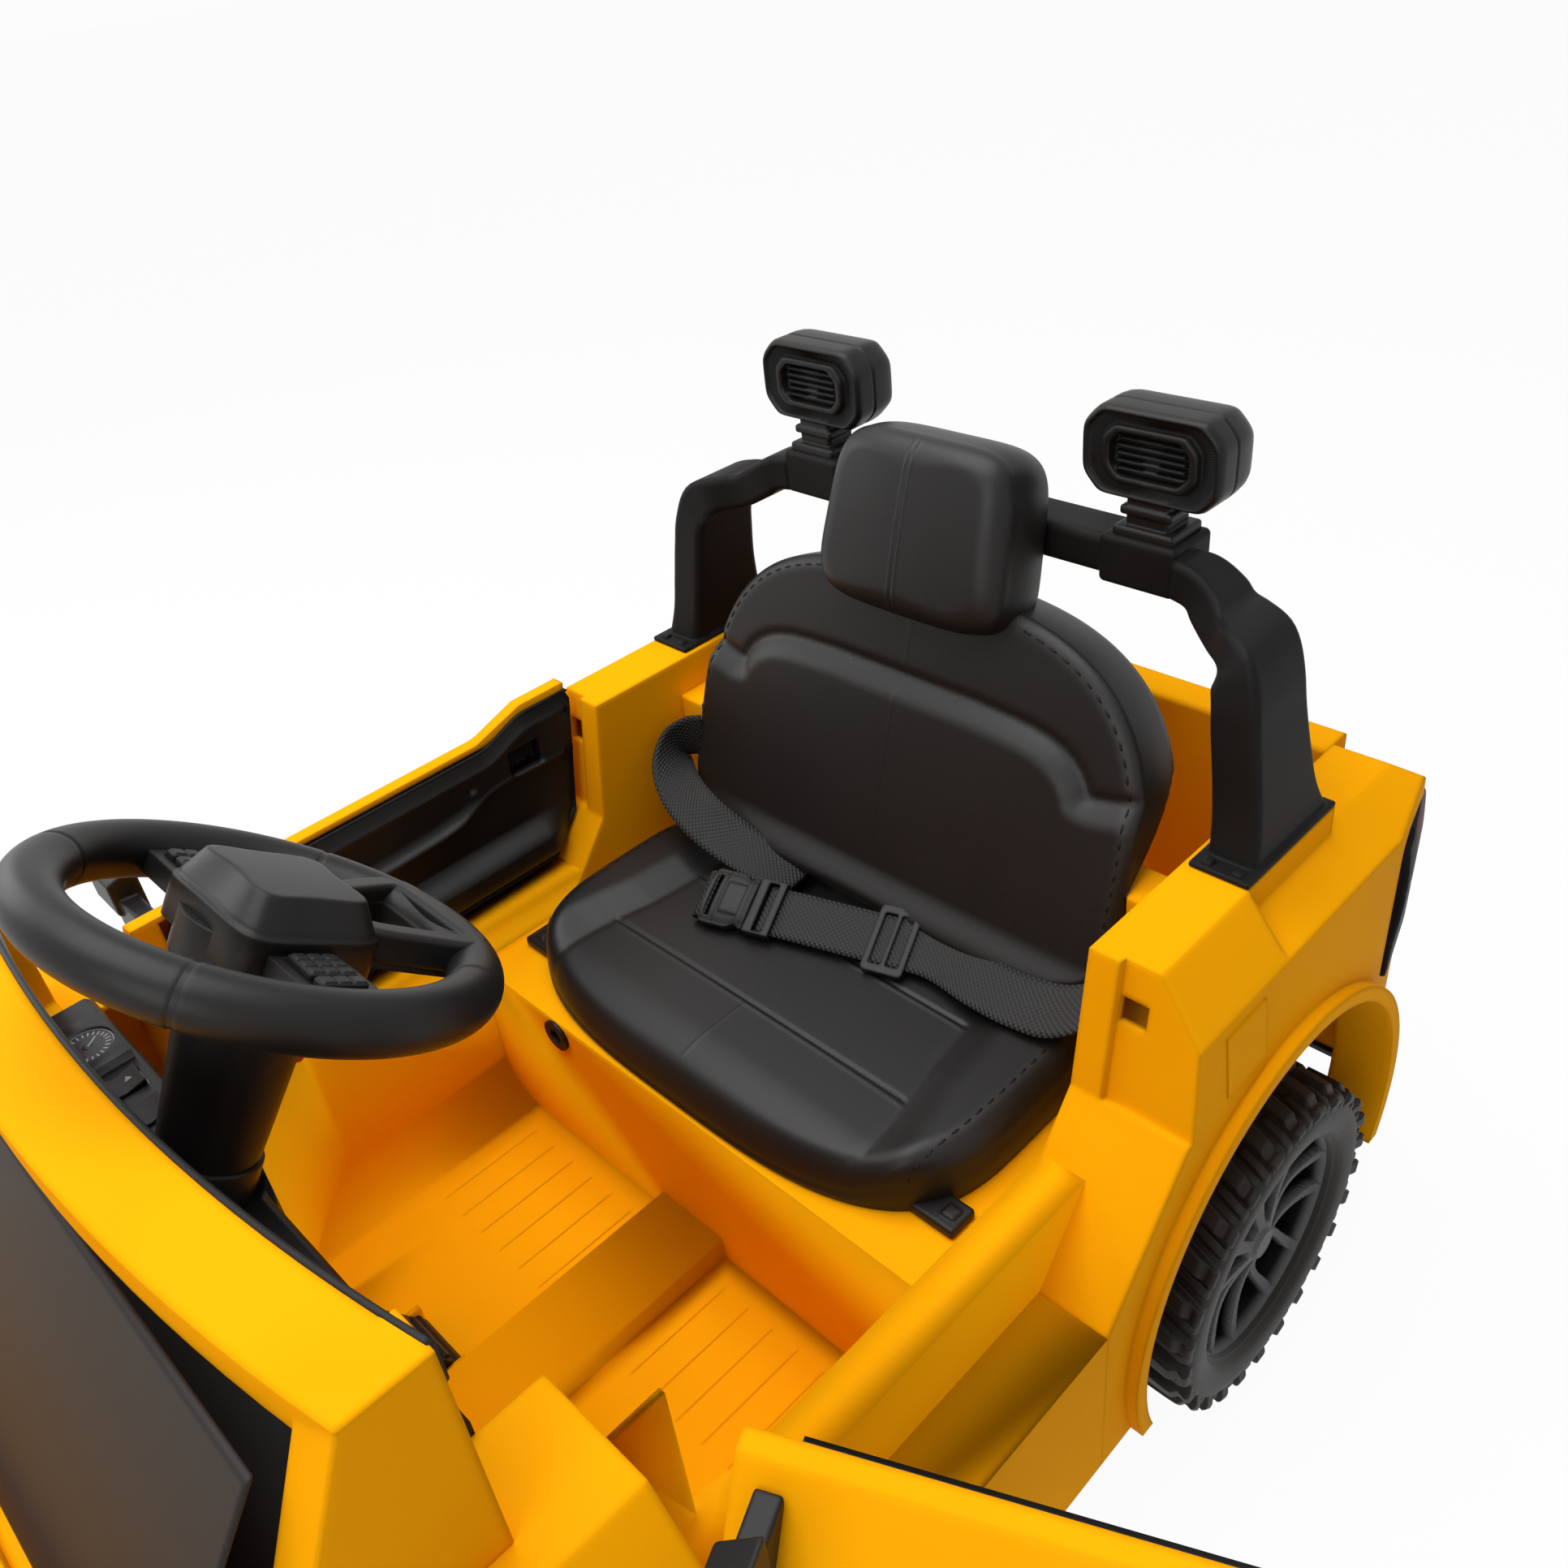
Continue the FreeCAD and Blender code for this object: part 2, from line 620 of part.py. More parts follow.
def arc_band(radius_in, width, z0, z1):
    # A band between two arcs that bow towards the nose, with the header's plan curve.
    centre = V(0, HEADER_Y + HEADER_ARC, z0)
    hole = Part.makeCylinder(radius_in, z1 - z0, centre)
    ring = Part.makeCylinder(radius_in + width, z1 - z0, centre).cut(hole)
    return ring.common(box(-HEADER_X, HEADER_X, HEADER_Y - 200, 0, z0 - 1, z1 + 1))


def windscreen_frame():
    header = arc_band(HEADER_ARC, HEADER_W, HEADER_Z - HEADER_H, HEADER_Z)
    end_y = HEADER_Y + HEADER_ARC - math.sqrt(HEADER_ARC ** 2 - HEADER_X ** 2)
    post = [
        (end_y, HEADER_Z), (end_y - HEADER_W, HEADER_Z), (end_y - HEADER_W - 60, BELT_Z), (end_y, BELT_Z),
    ]
    pillar = prism(post, "x", HEADER_X - HEADER_H, HEADER_X)
    cowl = box(-HOOD_X, HOOD_X, COWL_Y, COWL_Y + 40, BELT_Z - WALL, BELT_Z)
    rail = box(HOOD_X - WALL, HEADER_X, COWL_Y, end_y, BELT_Z, BELT_Z + WALL)
    frame = fuse(header, pillar, mirrored(pillar), cowl, rail, mirrored(rail))
    return frame


def windscreen():
    low = (COWL_Y + 6, BELT_Z)
    end_y = HEADER_Y - HEADER_W
    pane = [low, (end_y, HEADER_Z - HEADER_H), (end_y + 4, HEADER_Z - HEADER_H), (low[0] + 4, BELT_Z)]
    x = HEADER_X - HEADER_H - 0.5
    glass = prism(pane, "x", -x, x)
    return glass.cut(windscreen_frame())


def steer_axis():
    a = math.radians(WHEEL_TILT)
    return V(0, math.sin(a), math.cos(a))


def on_shaft(t):
    # The point t millimetres down the steering shaft from the wheel's centre.
    return V(0, WHEEL_Y, WHEEL_Z) - steer_axis() * t


def dash_depth():
    # Distance down the shaft to the top of the dashboard.
    return (WHEEL_Z - DASH_Z) / steer_axis().z


def dashboard():
    x, t = HOOD_X, WALL
    profile = [
        (DASH_Y, DASH_Z - DASH_LIP), (DASH_Y, DASH_Z - t), (DASH_Y - t, DASH_Z), (HEADER_Y - DASH_BACK, DASH_Z),
        (HEADER_Y - DASH_BACK, DASH_Z - t), (DASH_Y - t, DASH_Z - t), (DASH_Y - t, DASH_Z - DASH_LIP),
    ]
    shelf = prism(profile, "x", -x, x)
    bearing = rod(on_shaft(dash_depth() - 10), on_shaft(dash_depth() + 44), SHAFT_R + 9)
    bearing = bearing.common(box(-x, x, HEADER_Y - 90, DASH_Y, 0, DASH_Z))
    foot = column_point(column_length())
    boss = Part.makeCylinder(BOSS_R, DASH_LIP, V(0, foot.y, DASH_Z - DASH_LIP))
    boss = boss.cut(Part.makeCylinder(BOSS_R - t, DASH_LIP, V(0, foot.y, DASH_Z - DASH_LIP - t)))
    bore = rod(on_shaft(dash_depth() - 60), on_shaft(dash_depth() + 60), SHAFT_R + RUNNING_FIT)
    pod = -POD_SHARE * GAUGE_X
    pods = box(GAUGE_X - pod, GAUGE_X + pod, GAUGE_Y - 22, GAUGE_Y + 12, DASH_Z - 1, DASH_Z + 6)
    dial = Part.makeCylinder(15, 2, V(GAUGE_X, GAUGE_Y - 4, DASH_Z + 4))
    panel = fuse(shelf, bearing, boss, pods).cut(dial).cut(bore)
    for rx in ROCKER_X:
        w, d = ROCKER_W / 2 + 0.5, ROCKER_D / 2 + 0.5
        panel = panel.cut(box(rx - w, rx + w, ROCKER_Y - d, ROCKER_Y + d, DASH_Z - t - 1, DASH_Z + 1))
    return panel


def rocker(x):
    # A two-way switch cap that rocks on a cross pin just under the panel.
    w, d = ROCKER_W / 2, ROCKER_D / 2
    cap = [(-d, -3), (-d, 4), (0, 1.5), (d, 4), (d, -3)]
    cap = [(ROCKER_Y + y * 0.92, DASH_Z + z) for y, z in cap]
    body = prism(cap, "x", x - w, x + w)
    pin = rod((x - w - 0.2, ROCKER_Y, DASH_Z - 2), (x + w + 0.2, ROCKER_Y, DASH_Z - 2), 0.9)
    return fuse(body, pin)


def column_point(t):
    # The point t millimetres down the column cover's own, steeper axis.
    a = math.radians(COLUMN_TILT)
    return V(0, WHEEL_Y, WHEEL_Z) - V(0, math.sin(a), math.cos(a)) * t


def column_length():
    return (WHEEL_Z - DASH_Z) / math.cos(math.radians(COLUMN_TILT))


def column_cover():
    # A tapered tube from the wheel's underside to the dashboard, with a collar at its foot.
    length = column_length()
    top, low = column_point(COLUMN_FROM), column_point(length + COLUMN_LOW_R)
    way = top - low
    outer = Part.makeCone(COLUMN_LOW_R, COLUMN_TOP_R, way.Length, low, way)
    hollow = Part.makeCone(COLUMN_LOW_R - COLUMN_WALL, COLUMN_TOP_R - COLUMN_WALL, way.Length, low, way)
    collar = rod(low, column_point(length - COLLAR_H), COLUMN_LOW_R + COLLAR_STEP)
    above = box(-WHEEL_R, WHEEL_R, WHEEL_Y - 2 * WHEEL_R, WHEEL_Y + 2 * WHEEL_R, DASH_Z, WHEEL_Z)
    bore = rod(start_point(0), start_point(3 * COLUMN_TOP_R), START_R + RUNNING_FIT)
    return fuse(outer, collar).cut(hollow).common(above).cut(bore)


def start_point(t):
    # The point t millimetres out of the column's axis, on the driver's side.
    a = math.radians(COLUMN_TILT)
    return column_point(START_T) + V(0, math.cos(a), -math.sin(a)) * t


def start_button():
    # A push button in the column's driver's face, with a skirt that stays inside the wall.
    face = COLUMN_LOW_R + (COLUMN_TOP_R - COLUMN_LOW_R) * (1 - START_T / column_length())
    inside = face - COLUMN_WALL - 2 * BUTTON_TRAVEL
    cap = rod(start_point(inside - 2), start_point(face + START_L / 2), START_R)
    skirt = rod(start_point(inside - 2), start_point(inside), START_R + START_SKIRT)
    return fuse(cap, skirt)


def wheel_frame(shape):
    # Moves a shape drawn flat, +Z to the driver and +Y to the six o'clock side, onto the shaft.
    placed = shape.copy()
    placed.rotate(V(0, 0, 0), V(1, 0, 0), -WHEEL_TILT)
    placed.translate(V(0, WHEEL_Y, WHEEL_Z))
    return placed


def button_sites():
    # The two key pads on each spoke: a square one and a narrow one outside it.
    sites = {}
    for side, sign in (("left", 1), ("right", -1)):
        sites["keypad_" + side] = (sign * BUTTON_U, PAD_W)
        sites["side_keys_" + side] = (sign * (BUTTON_U + (PAD_W + KEY_W) / 2 + 1.5), KEY_W)
    return sites


def steering_wheel():
    rim = Part.makeTorus(WHEEL_R, GRIP_R)
    spoke = box(30, WHEEL_R - 4, BUTTON_V - 18, BUTTON_V + 18, -7, 5)
    lower = prism([(-26, 30), (26, 30), (44, WHEEL_R - 6), (-44, WHEEL_R - 6)], "z", -7, 5)
    window = prism([(-18, 40), (18, 40), (30, WHEEL_R - 20), (-30, WHEEL_R - 20)], "z", -8, 6)
    hub = Part.makeCylinder(40, 5 - HUB_LOW, V(0, 0, HUB_LOW))
    whole = fuse(rim, spoke, mirrored(spoke), lower.cut(window), hub)
    for u, w in button_sites().values():
        across, deep = w / 2 + 0.4, PAD_D / 2 + 0.4
        well = box(u - across, u + across, BUTTON_V - deep, BUTTON_V + deep, 1, 6)
        whole = whole.cut(well)
    bore = Part.makeCylinder(SHAFT_R, 5 - HUB_LOW + 2, V(0, 0, HUB_LOW - 1))
    return wheel_frame(whole.cut(bore))


def hub_pad():
    low = [V(-45, -34, 5), V(45, -34, 5), V(38, 40, 5), V(-38, 40, 5)]
    high = [V(-36, -26, HUB_TOP), V(36, -26, HUB_TOP), V(28, 32, HUB_TOP), V(-28, 32, HUB_TOP)]
    pad = ruled([Part.makePolygon(low + low[:1]), Part.makePolygon(high + high[:1])])
    return wheel_frame(pad)


def button(u, w):
    cap = box(u - w / 2, u + w / 2, BUTTON_V - PAD_D / 2, BUTTON_V + PAD_D / 2, 1 + BUTTON_TRAVEL + 0.2, 8)
    return wheel_frame(soften(cap, 2, V(0, 0, 1)))


def shaft_end():
    # The foot of the shaft, placed so that the tip of its arm comes to the fork's height.
    return on_shaft((WHEEL_Z - FORK_Z + PITMAN * steer_axis().y) / steer_axis().z)


def fork_y():
    return shaft_end().y - PITMAN * steer_axis().z


def steering_shaft():
    top = on_shaft(-5)
    end = shaft_end()
    shaft = rod(top, end, SHAFT_R)
    arm_way = V(0, -steer_axis().z, steer_axis().y)
    tip = end + arm_way * PITMAN
    arm = rod(end + steer_axis() * SHAFT_R, tip + steer_axis() * SHAFT_R, 6)
    peg = rod(tip + steer_axis() * SHAFT_R, tip - steer_axis() * PEG_L, TIE_R)
    return fuse(shaft, arm, peg)


def tie_rod():
    y = FRONT_AXLE_Y - STEER_ARM
    bar = box(-KINGPIN_X - 10, KINGPIN_X + 10, y - 7, y + 7, TIE_Z, TIE_Z + 6)
    rest = AXLE_Z + SLEEVE_H / 2 + RUNNING_FIT
    pin = fuse(
        Part.makeCylinder(TIE_R, 22, V(KINGPIN_X, y, TIE_Z - 21)),
        Part.makeCylinder(TIE_R + FORK_PLAY, TIE_Z - rest, V(KINGPIN_X, y, rest)),
    )
    fork = fork_y()
    tongue = box(-22, 22, min(fork - 10, y - 7), max(fork + 10, y + 7), TIE_Z, TIE_Z + 6)
    gap = TIE_R + FORK_PLAY
    lug = box(gap, gap + 8, fork - 16, fork + 10, TIE_Z, FORK_Z - PEG_L / 2)
    return fuse(bar, tongue, lug, mirrored(lug), pin, mirrored(pin))


def knuckle():
    # A sleeve on the king pin, a stub axle for the wheel and an arm that the tie rod's pin moves.
    low = AXLE_Z - SLEEVE_H / 2
    sleeve = Part.makeCylinder(SLEEVE_R, SLEEVE_H, V(KINGPIN_X, FRONT_AXLE_Y, low))
    stub = rod((KINGPIN_X, FRONT_AXLE_Y, AXLE_Z), (wheel_face() + 3, FRONT_AXLE_Y, AXLE_Z), AXLE_R)
    y = FRONT_AXLE_Y - STEER_ARM
    z = AXLE_Z + SLEEVE_H / 2 - 8
    arm = box(KINGPIN_X - 8, KINGPIN_X + 8, y - 14, FRONT_AXLE_Y, z, z + 8)
    slot_r = TIE_R + 1
    slot = fuse(
        Part.makeCylinder(slot_r, 20, V(KINGPIN_X, y - 4, z - 6)),
        Part.makeCylinder(slot_r, 20, V(KINGPIN_X, y + 6, z - 6)),
        box(KINGPIN_X - slot_r, KINGPIN_X + slot_r, y - 4, y + 6, z - 6, z + 14),
    )
    bore = Part.makeCylinder(KINGPIN_R + RUNNING_FIT, SLEEVE_H + 2, V(KINGPIN_X, FRONT_AXLE_Y, low - 1))
    return fuse(sleeve, stub, arm).cut(slot).cut(bore)


def wheel_face():
    return TRACK / 2 + RIM_W / 2 - RIM_RECESS


def tyre():
    # Drawn about the X axis at the origin, outer face to +X.
    h, s = TYRE_W / 2, TREAD_DEPTH
    core = TYRE_R - TREAD_DEPTH
    profile = [
        V(-h + 3, RIM_R, 0), V(-h, RIM_R + 8, 0), V(-h, core - s / 2, 0), V(-h + s, TYRE_R, 0),
        V(h - s, TYRE_R, 0), V(h, core - s / 2, 0), V(h, RIM_R + 8, 0), V(h - 3, RIM_R, 0),
    ]
    ring = Part.Face(Part.makePolygon(profile + profile[:1])).revolve(V(0, 0, 0), V(1, 0, 0), 360)
    grooves = []
    for i in range(TREAD_LUGS):
        for side in (-1, 1):
            x0, x1 = (0, h + 2) if side > 0 else (-h - 2, 0)
            cut = box(x0, x1, -4, 4, core, TYRE_R + 5)
            cut.rotate(V(0, 0, 0), V(1, 0, 0), 360.0 / TREAD_LUGS * (i + 0.25 * side))
            grooves.append(cut)
    return ring.cut(group(*grooves))


def rim():
    h = RIM_W / 2
    dish = TRACK / 2 - wheel_face()
    profile = [
        V(-h, RIM_R - 6, 0), V(-h, RIM_R, 0), V(h, RIM_R, 0), V(h, RIM_R - 8, 0), V(-dish, RIM_R - 12, 0),
        V(-dish, 14, 0), V(-dish + 10, 12, 0), V(-dish + 10, 0, 0), V(-dish - 16, 0, 0), V(-dish - 16, 16, 0),
        V(-dish - 8, 20, 0), V(-dish - 8, RIM_R - 12, 0),
    ]
    disc = Part.Face(Part.makePolygon(profile + profile[:1])).revolve(V(0, 0, 0), V(1, 0, 0), 360)
    windows = []
    for i in range(SPOKES):
        w = box(-2 * h, 2 * h, -7, 7, 32, RIM_R - 18)
        w.rotate(V(0, 0, 0), V(1, 0, 0), 360.0 / SPOKES * i)
        windows.append(w)
    disc = disc.cut(group(*windows))
    bore = rod((-h - 20, 0, 0), (-dish + 4, 0, 0), AXLE_R + RUNNING_FIT)
    return disc.cut(bore)


def at_wheel(shape, side, axle_y):
    placed = shape.copy() if side > 0 else mirrored(shape)
    placed.translate(V(side * TRACK / 2, axle_y, AXLE_Z))
    return placed


def rear_axle():
    reach = wheel_face() + 3
    return rod((-reach, REAR_AXLE_Y, AXLE_Z), (reach, REAR_AXLE_Y, AXLE_Z), AXLE_R)


def gear_motor():
    x1 = CABIN_X - PAN_T
    x0 = x1 - GEARBOX_W
    case = box(x0, x1, REAR_AXLE_Y - 75, REAR_AXLE_Y + 35, PAN_TOP, AXLE_Z + 40)
    case = soften(case, 8, V(1, 0, 0))
    y = REAR_AXLE_Y - 50
    can = rod((x0 - MOTOR_L, y, AXLE_Z + 10), (x0, y, AXLE_Z + 10), MOTOR_R)
    axle = rod((x0 - 1, REAR_AXLE_Y, AXLE_Z), (x1 + 1, REAR_AXLE_Y, AXLE_Z), AXLE_R)
    return fuse(case, can).cut(axle)


def battery():
    w, d, h = BATTERY
    y = PLATFORM_Y + 50
    return fuse(
        box(-w / 2, w / 2, y, y + d, PAN_TOP, PAN_TOP + h),
        box(-w / 2 + 10, -w / 2 + 18, y + 10, y + 14, PAN_TOP + h, PAN_TOP + h + 8),
        box(w / 2 - 18, w / 2 - 10, y + 10, y + 14, PAN_TOP + h, PAN_TOP + h + 8),
    )


def roll_bar():
    foot = [V(POST_IN_X, POST_FRONT_Y, BELT_Z), V(POST_OUT_X, POST_FRONT_Y, BELT_Z),
            V(POST_OUT_X, POST_REAR_Y, BELT_Z), V(POST_IN_X, POST_REAR_Y, BELT_Z)]
    top_y = POST_FRONT_Y + 14
    inset = POST_OUT_X - 18
    head = [V(inset - 30, top_y, POST_TOP_Z), V(inset, top_y, POST_TOP_Z),
            V(inset, top_y + BAR_DEPTH, POST_TOP_Z), V(inset - 30, top_y + BAR_DEPTH, POST_TOP_Z)]
    post = ruled([Part.makePolygon(foot + foot[:1]), Part.makePolygon(head + head[:1])])
    flange = box(POST_IN_X - 3, POST_OUT_X + 3, POST_FRONT_Y - 14, POST_REAR_Y + 8, BELT_Z, BELT_Z + 3)
    arm_out = [V(inset - 8, top_y, BAR_Z - 12), V(inset - 8, top_y + BAR_DEPTH, BAR_Z - 12),
               V(inset - 8, top_y + BAR_DEPTH, POST_TOP_Z), V(inset - 8, top_y, POST_TOP_Z)]
    arm_in = [V(BLOCK_OUT_X, BAR_Y, BAR_Z), V(BLOCK_OUT_X, BAR_Y + ARM_DEPTH, BAR_Z),
              V(BLOCK_OUT_X, BAR_Y + ARM_DEPTH, BAR_Z + ARM_H), V(BLOCK_OUT_X, BAR_Y, BAR_Z + ARM_H)]
    arm = ruled([Part.makePolygon(arm_out + arm_out[:1]), Part.makePolygon(arm_in + arm_in[:1])])
    block = box(BLOCK_IN_X, BLOCK_OUT_X, BAR_Y, BAR_Y + BAR_DEPTH, BAR_Z, BAR_Z + BAR_H)
    lap = BLOCK_LAP
    bar = box(-BLOCK_IN_X, BLOCK_IN_X, BAR_Y + lap, BAR_Y + BAR_DEPTH - lap, BAR_Z + lap, BAR_Z + BAR_H - lap)
    half = [post, flange, arm, block]
    for x in (POST_IN_X + 6, POST_OUT_X - 6):
        half.append(Part.makeCylinder(3.5, 5, V(x, POST_FRONT_Y - 7, BELT_Z)))
    return fuse(bar, *half, *[mirrored(s) for s in half])


def octagon(w, h, c, y):
    a, b = w / 2, h / 2
    pts = [
        (-a + c, -b), (a - c, -b), (a, -b + c), (a, b - c),
        (a - c, b), (-a + c, b), (-a, b - c), (-a, -b + c),
    ]
    return Part.makePolygon([V(x, y, z) for x, z in pts + pts[:1]])


def roof_lamp():
    # An eight-sided lamp housing on a stepped stem, with a recessed louvred face.
    w, h, c, d = LAMP_W, LAMP_H, LAMP_CORNER, LAMP_D
    shell = ruled([octagon(w - 8, h - 8, c, 0), octagon(w, h, c, 5), octagon(w, h, c, d * 0.55),
                   octagon(w - 3, h - 3, c, d * 0.8), octagon(w - 14, h - 14, c, d)])
    recess = Part.Face(octagon(w * 0.58, h * 0.5, c * 0.6, -1)).extrude(V(0, 7, 0))
    bars = []
    for i in range(LOUVRES):
        z = h * 0.42 * ((i + 0.5) / LOUVRES - 0.5)
        bars.append(box(-w * 0.22, w * 0.22, 2, 7, z - 1.2, z + 1.2))
    body = fuse(shell.cut(recess), *bars)
    body.translate(V(LAMP_X, LAMP_Y, LAMP_Z))
    x, s = LAMP_X, STEM_W / 2
    y = BAR_Y + BAR_DEPTH / 2
    stem = fuse(
        box(x - s, x + s, y - s + 2, y + s - 2, BAR_Z + BAR_H, LAMP_Z - LAMP_H / 2 + 4),
        box(x - s - 6, x + s + 6, y - s - 3, y + s + 3, BAR_Z + BAR_H, BAR_Z + BAR_H + 7),
    )
    return fuse(body, stem)


def seat_cushion():
    # Moulded cushion with drawn-in sides, a dished panel between two bolsters with two cross channels,
    # on two fixing tabs.
    z = PLATFORM_Z + SEAT_SEAT
    top = z + SEAT_H
    levels = [(0, 3), (10, 0), (24, 0), (32, 6), (39, 16), (SEAT_H, 34)]
    wires = []
    for up, inset in levels:
        wires.append(rounded_outline(SEAT_X, SEAT_FRONT_Y, SEAT_REAR_Y, SEAT_CORNER, inset, z + up))
    wide = SEAT_X - BOLSTER_IN
    narrow = wide - BOLSTER_SLOPE
    low = top - SEAT_DISH
    dish = prism(
        [(-narrow, low), (narrow, low), (wide, top), (wide, top + 1), (-wide, top + 1), (-wide, top)],
        "y", SEAT_FRONT_Y - 1, SEAT_REAR_Y + 1,
    )
    channels = []
    for back in CHANNELS:
        y = SEAT_FRONT_Y + back
        channels.append(box(-narrow, narrow, y - CHANNEL_W / 2, y + CHANNEL_W / 2, low - CHANNEL_D, low + 1))
    pad = ruled(wires).cut(group(dish, *channels))
    tab = box(SEAT_X - 30, SEAT_X + 12, SEAT_FRONT_Y + 36, SEAT_FRONT_Y + 64, z, z + 7)
    return fuse(pad, tab, mirrored(tab))


def back_outline(grow, y):
    # Arched outline of the seat back, drawn flat: X across, Z up from the cushion.
    x, h = BACK_X + grow, BACK_H + grow
    low = -grow
    shoulder = h - 120
    mid = (x * 0.80, shoulder + 86)
    p = [V(-x + 20, y, low), V(x - 20, y, low), V(x, y, shoulder), V(mid[0], y, mid[1]), V(60, y, h)]
    edges = [
        Part.makeLine(p[0], p[1]),
        Part.makeLine(p[1], p[2]),
        Part.Arc(p[2], p[3], p[4]).toShape(),
        Part.makeLine(p[4], V(-60, y, h)),
        Part.Arc(V(-60, y, h), V(-p[3].x, y, p[3].z), V(-x, y, shoulder)).toShape(),
        Part.makeLine(V(-x, y, shoulder), p[0]),
    ]
    return Part.Wire(edges)


def lean(shape):
    leaned = shape.copy()
    leaned.rotate(V(0, 0, 0), V(1, 0, 0), -BACK_LEAN)
    leaned.translate(V(0, BACK_Y, BACK_Z))
    return leaned


def seat_back():
    levels = [(-16, 0), (-4, 4), (0, 10), (0, BACK_T - 8), (-10, BACK_T)]
    pad = lean(ruled([back_outline(grow, y) for grow, y in levels]))
    keep = box(-2 * BACK_X, 2 * BACK_X, 0, BULKHEAD_Y - SEAT_SEAT, 0, BULKHEAD_Z + SEAT_SEAT)
    keep_high = box(-2 * BACK_X, 2 * BACK_X, 0, 2 * TAIL_Y, BULKHEAD_Z + SEAT_SEAT, 2 * POST_TOP_Z)
    cushion_top = PLATFORM_Z + SEAT_SEAT + SEAT_H + SEAT_SEAT
    above = box(-2 * BACK_X, 2 * BACK_X, 0, 2 * TAIL_Y, cushion_top, 2 * POST_TOP_Z)
    return pad.common(fuse(keep, keep_high)).common(above)


def headrest():
    half = HEADREST_T / 2
    levels = ((14, -half), (3, -0.7 * half), (0, 0), (5, 0.7 * half), (18, half))
    wires = [rounded_outline(HEADREST_X, 0, HEADREST_H, HEADREST_CORNER, inset, y) for inset, y in levels]
    block = ruled(wires)
    block.rotate(V(0, 0, 0), V(1, 0, 0), 90)
    block.translate(V(0, HEADREST_BACK, HEADREST_LIFT))
    return lean(block).cut(seat_back())


def strap(sections):
    # Flat webbing through sections, each a centre, a width direction and a face direction.
    wires = []
    for centre, width_way, face_way in sections:
        p, w, n = V(*centre), V(*width_way), V(*face_way)
        w.normalize()
        n.normalize()
        a, b = w * (BELT_W / 2), n * BELT_T
        corners = [p - a, p + a, p + a + b, p - a + b]
        wires.append(Part.makePolygon(corners + corners[:1]))
    return ruled(wires)


def seat_top():
    # The height at which the belt's hardware lies on the cushion.
    return PLATFORM_Z + SEAT_H - SEAT_DISH + 2 * SEAT_SEAT


def belt_turn(x, y, z):
    # A direction in the buckle's own tilted frame, turned into the car's.
    tilted = FreeCAD.Rotation(V(1, 0, 0), BELT_TILT).multVec(V(x, y, z))
    return FreeCAD.Rotation(V(0, 0, 1), BELT_YAW).multVec(tilted)


def belt_spot(x, y, z):
    return V(BUCKLE_X, BUCKLE_Y, seat_top() + BUCKLE_LIFT) + belt_turn(x, y, z)


def on_belt(shape):
    placed = shape.copy()
    placed.rotate(V(0, 0, 0), V(1, 0, 0), BELT_TILT)
    placed.rotate(V(0, 0, 0), V(0, 0, 1), BELT_YAW)
    placed.translate(belt_spot(0, 0, 0))
    return placed


def lap_belt_left():
    # From the tongue straight through the slider, then up past the side of the seat back.
    z = seat_top()
    wide, face = belt_turn(0, 1, 0), belt_turn(0, 0, 1)
    return strap([
        (belt_spot(BUCKLE_L / 2 - 3 * WALL, 0, BELT_RISE), wide, face),
        (belt_spot(SLIDER_AT + SLIDER_L, 0, BELT_RISE), wide, face),
        ((SEAT_X - 44, BACK_Y - 23, z + 20), (-0.15, 1, 0.45), (0, -0.45, 1)),
        ((SEAT_X - 14, BACK_Y - 19, z + 24), (-0.1, 1, 0.7), (-0.3, -0.6, 1)),
        ((SEAT_X + 8, BACK_Y + 5, z + 39), (-0.2, 1, 0.3), (-1, -0.2, 0.3)),
    ])


def lap_belt_right():
    # From behind the seat back forward, folded over a lower run that leads under the buckle's socket.
    z = seat_top()
    upper = strap([
        ((-SEAT_X - 6, BACK_Y + 5, z + 57), (0.2, 1, -0.2), (1, -0.2, 0.3)),
        ((52 - SEAT_X, BACK_Y - 23, z + 39), (0.1, 0.85, 0.45), (0.25, -0.45, 0.85)),
        ((BUCKLE_X - 50, BACK_Y - 20, z + 25), (-0.1, 0.9, 0.35), (0.2, -0.35, 0.9)),
        ((BUCKLE_X - 4, BACK_Y - 17.5, z + 17), (-0.1, 1, 0), (0.1, 0, 1)),
    ])
    long, under = belt_turn(1, 0, 0), belt_turn(0, 0, -1)
    lower = strap([
        ((BUCKLE_X - 10, BACK_Y - 13, z + 17.2), (0.92, -0.4, 0), (0, 0, -1)),
        (belt_spot(-BUCKLE_L * 0.3, BUCKLE_W / 4, -3 * SEAT_SEAT), long, under),
        (belt_spot(-BUCKLE_L * 0.35, -BUCKLE_W / 6, -3 * SEAT_SEAT), long, under),
    ])
    return fuse(upper, lower)


def belt_slot(x0, x1):
    # The room for the webbing through a piece of hardware.
    y = BELT_W / 2 + BELT_ROOM
    return box(x0, x1, -y, y, BELT_RISE - BELT_ROOM, BELT_RISE + BELT_T + BELT_ROOM)


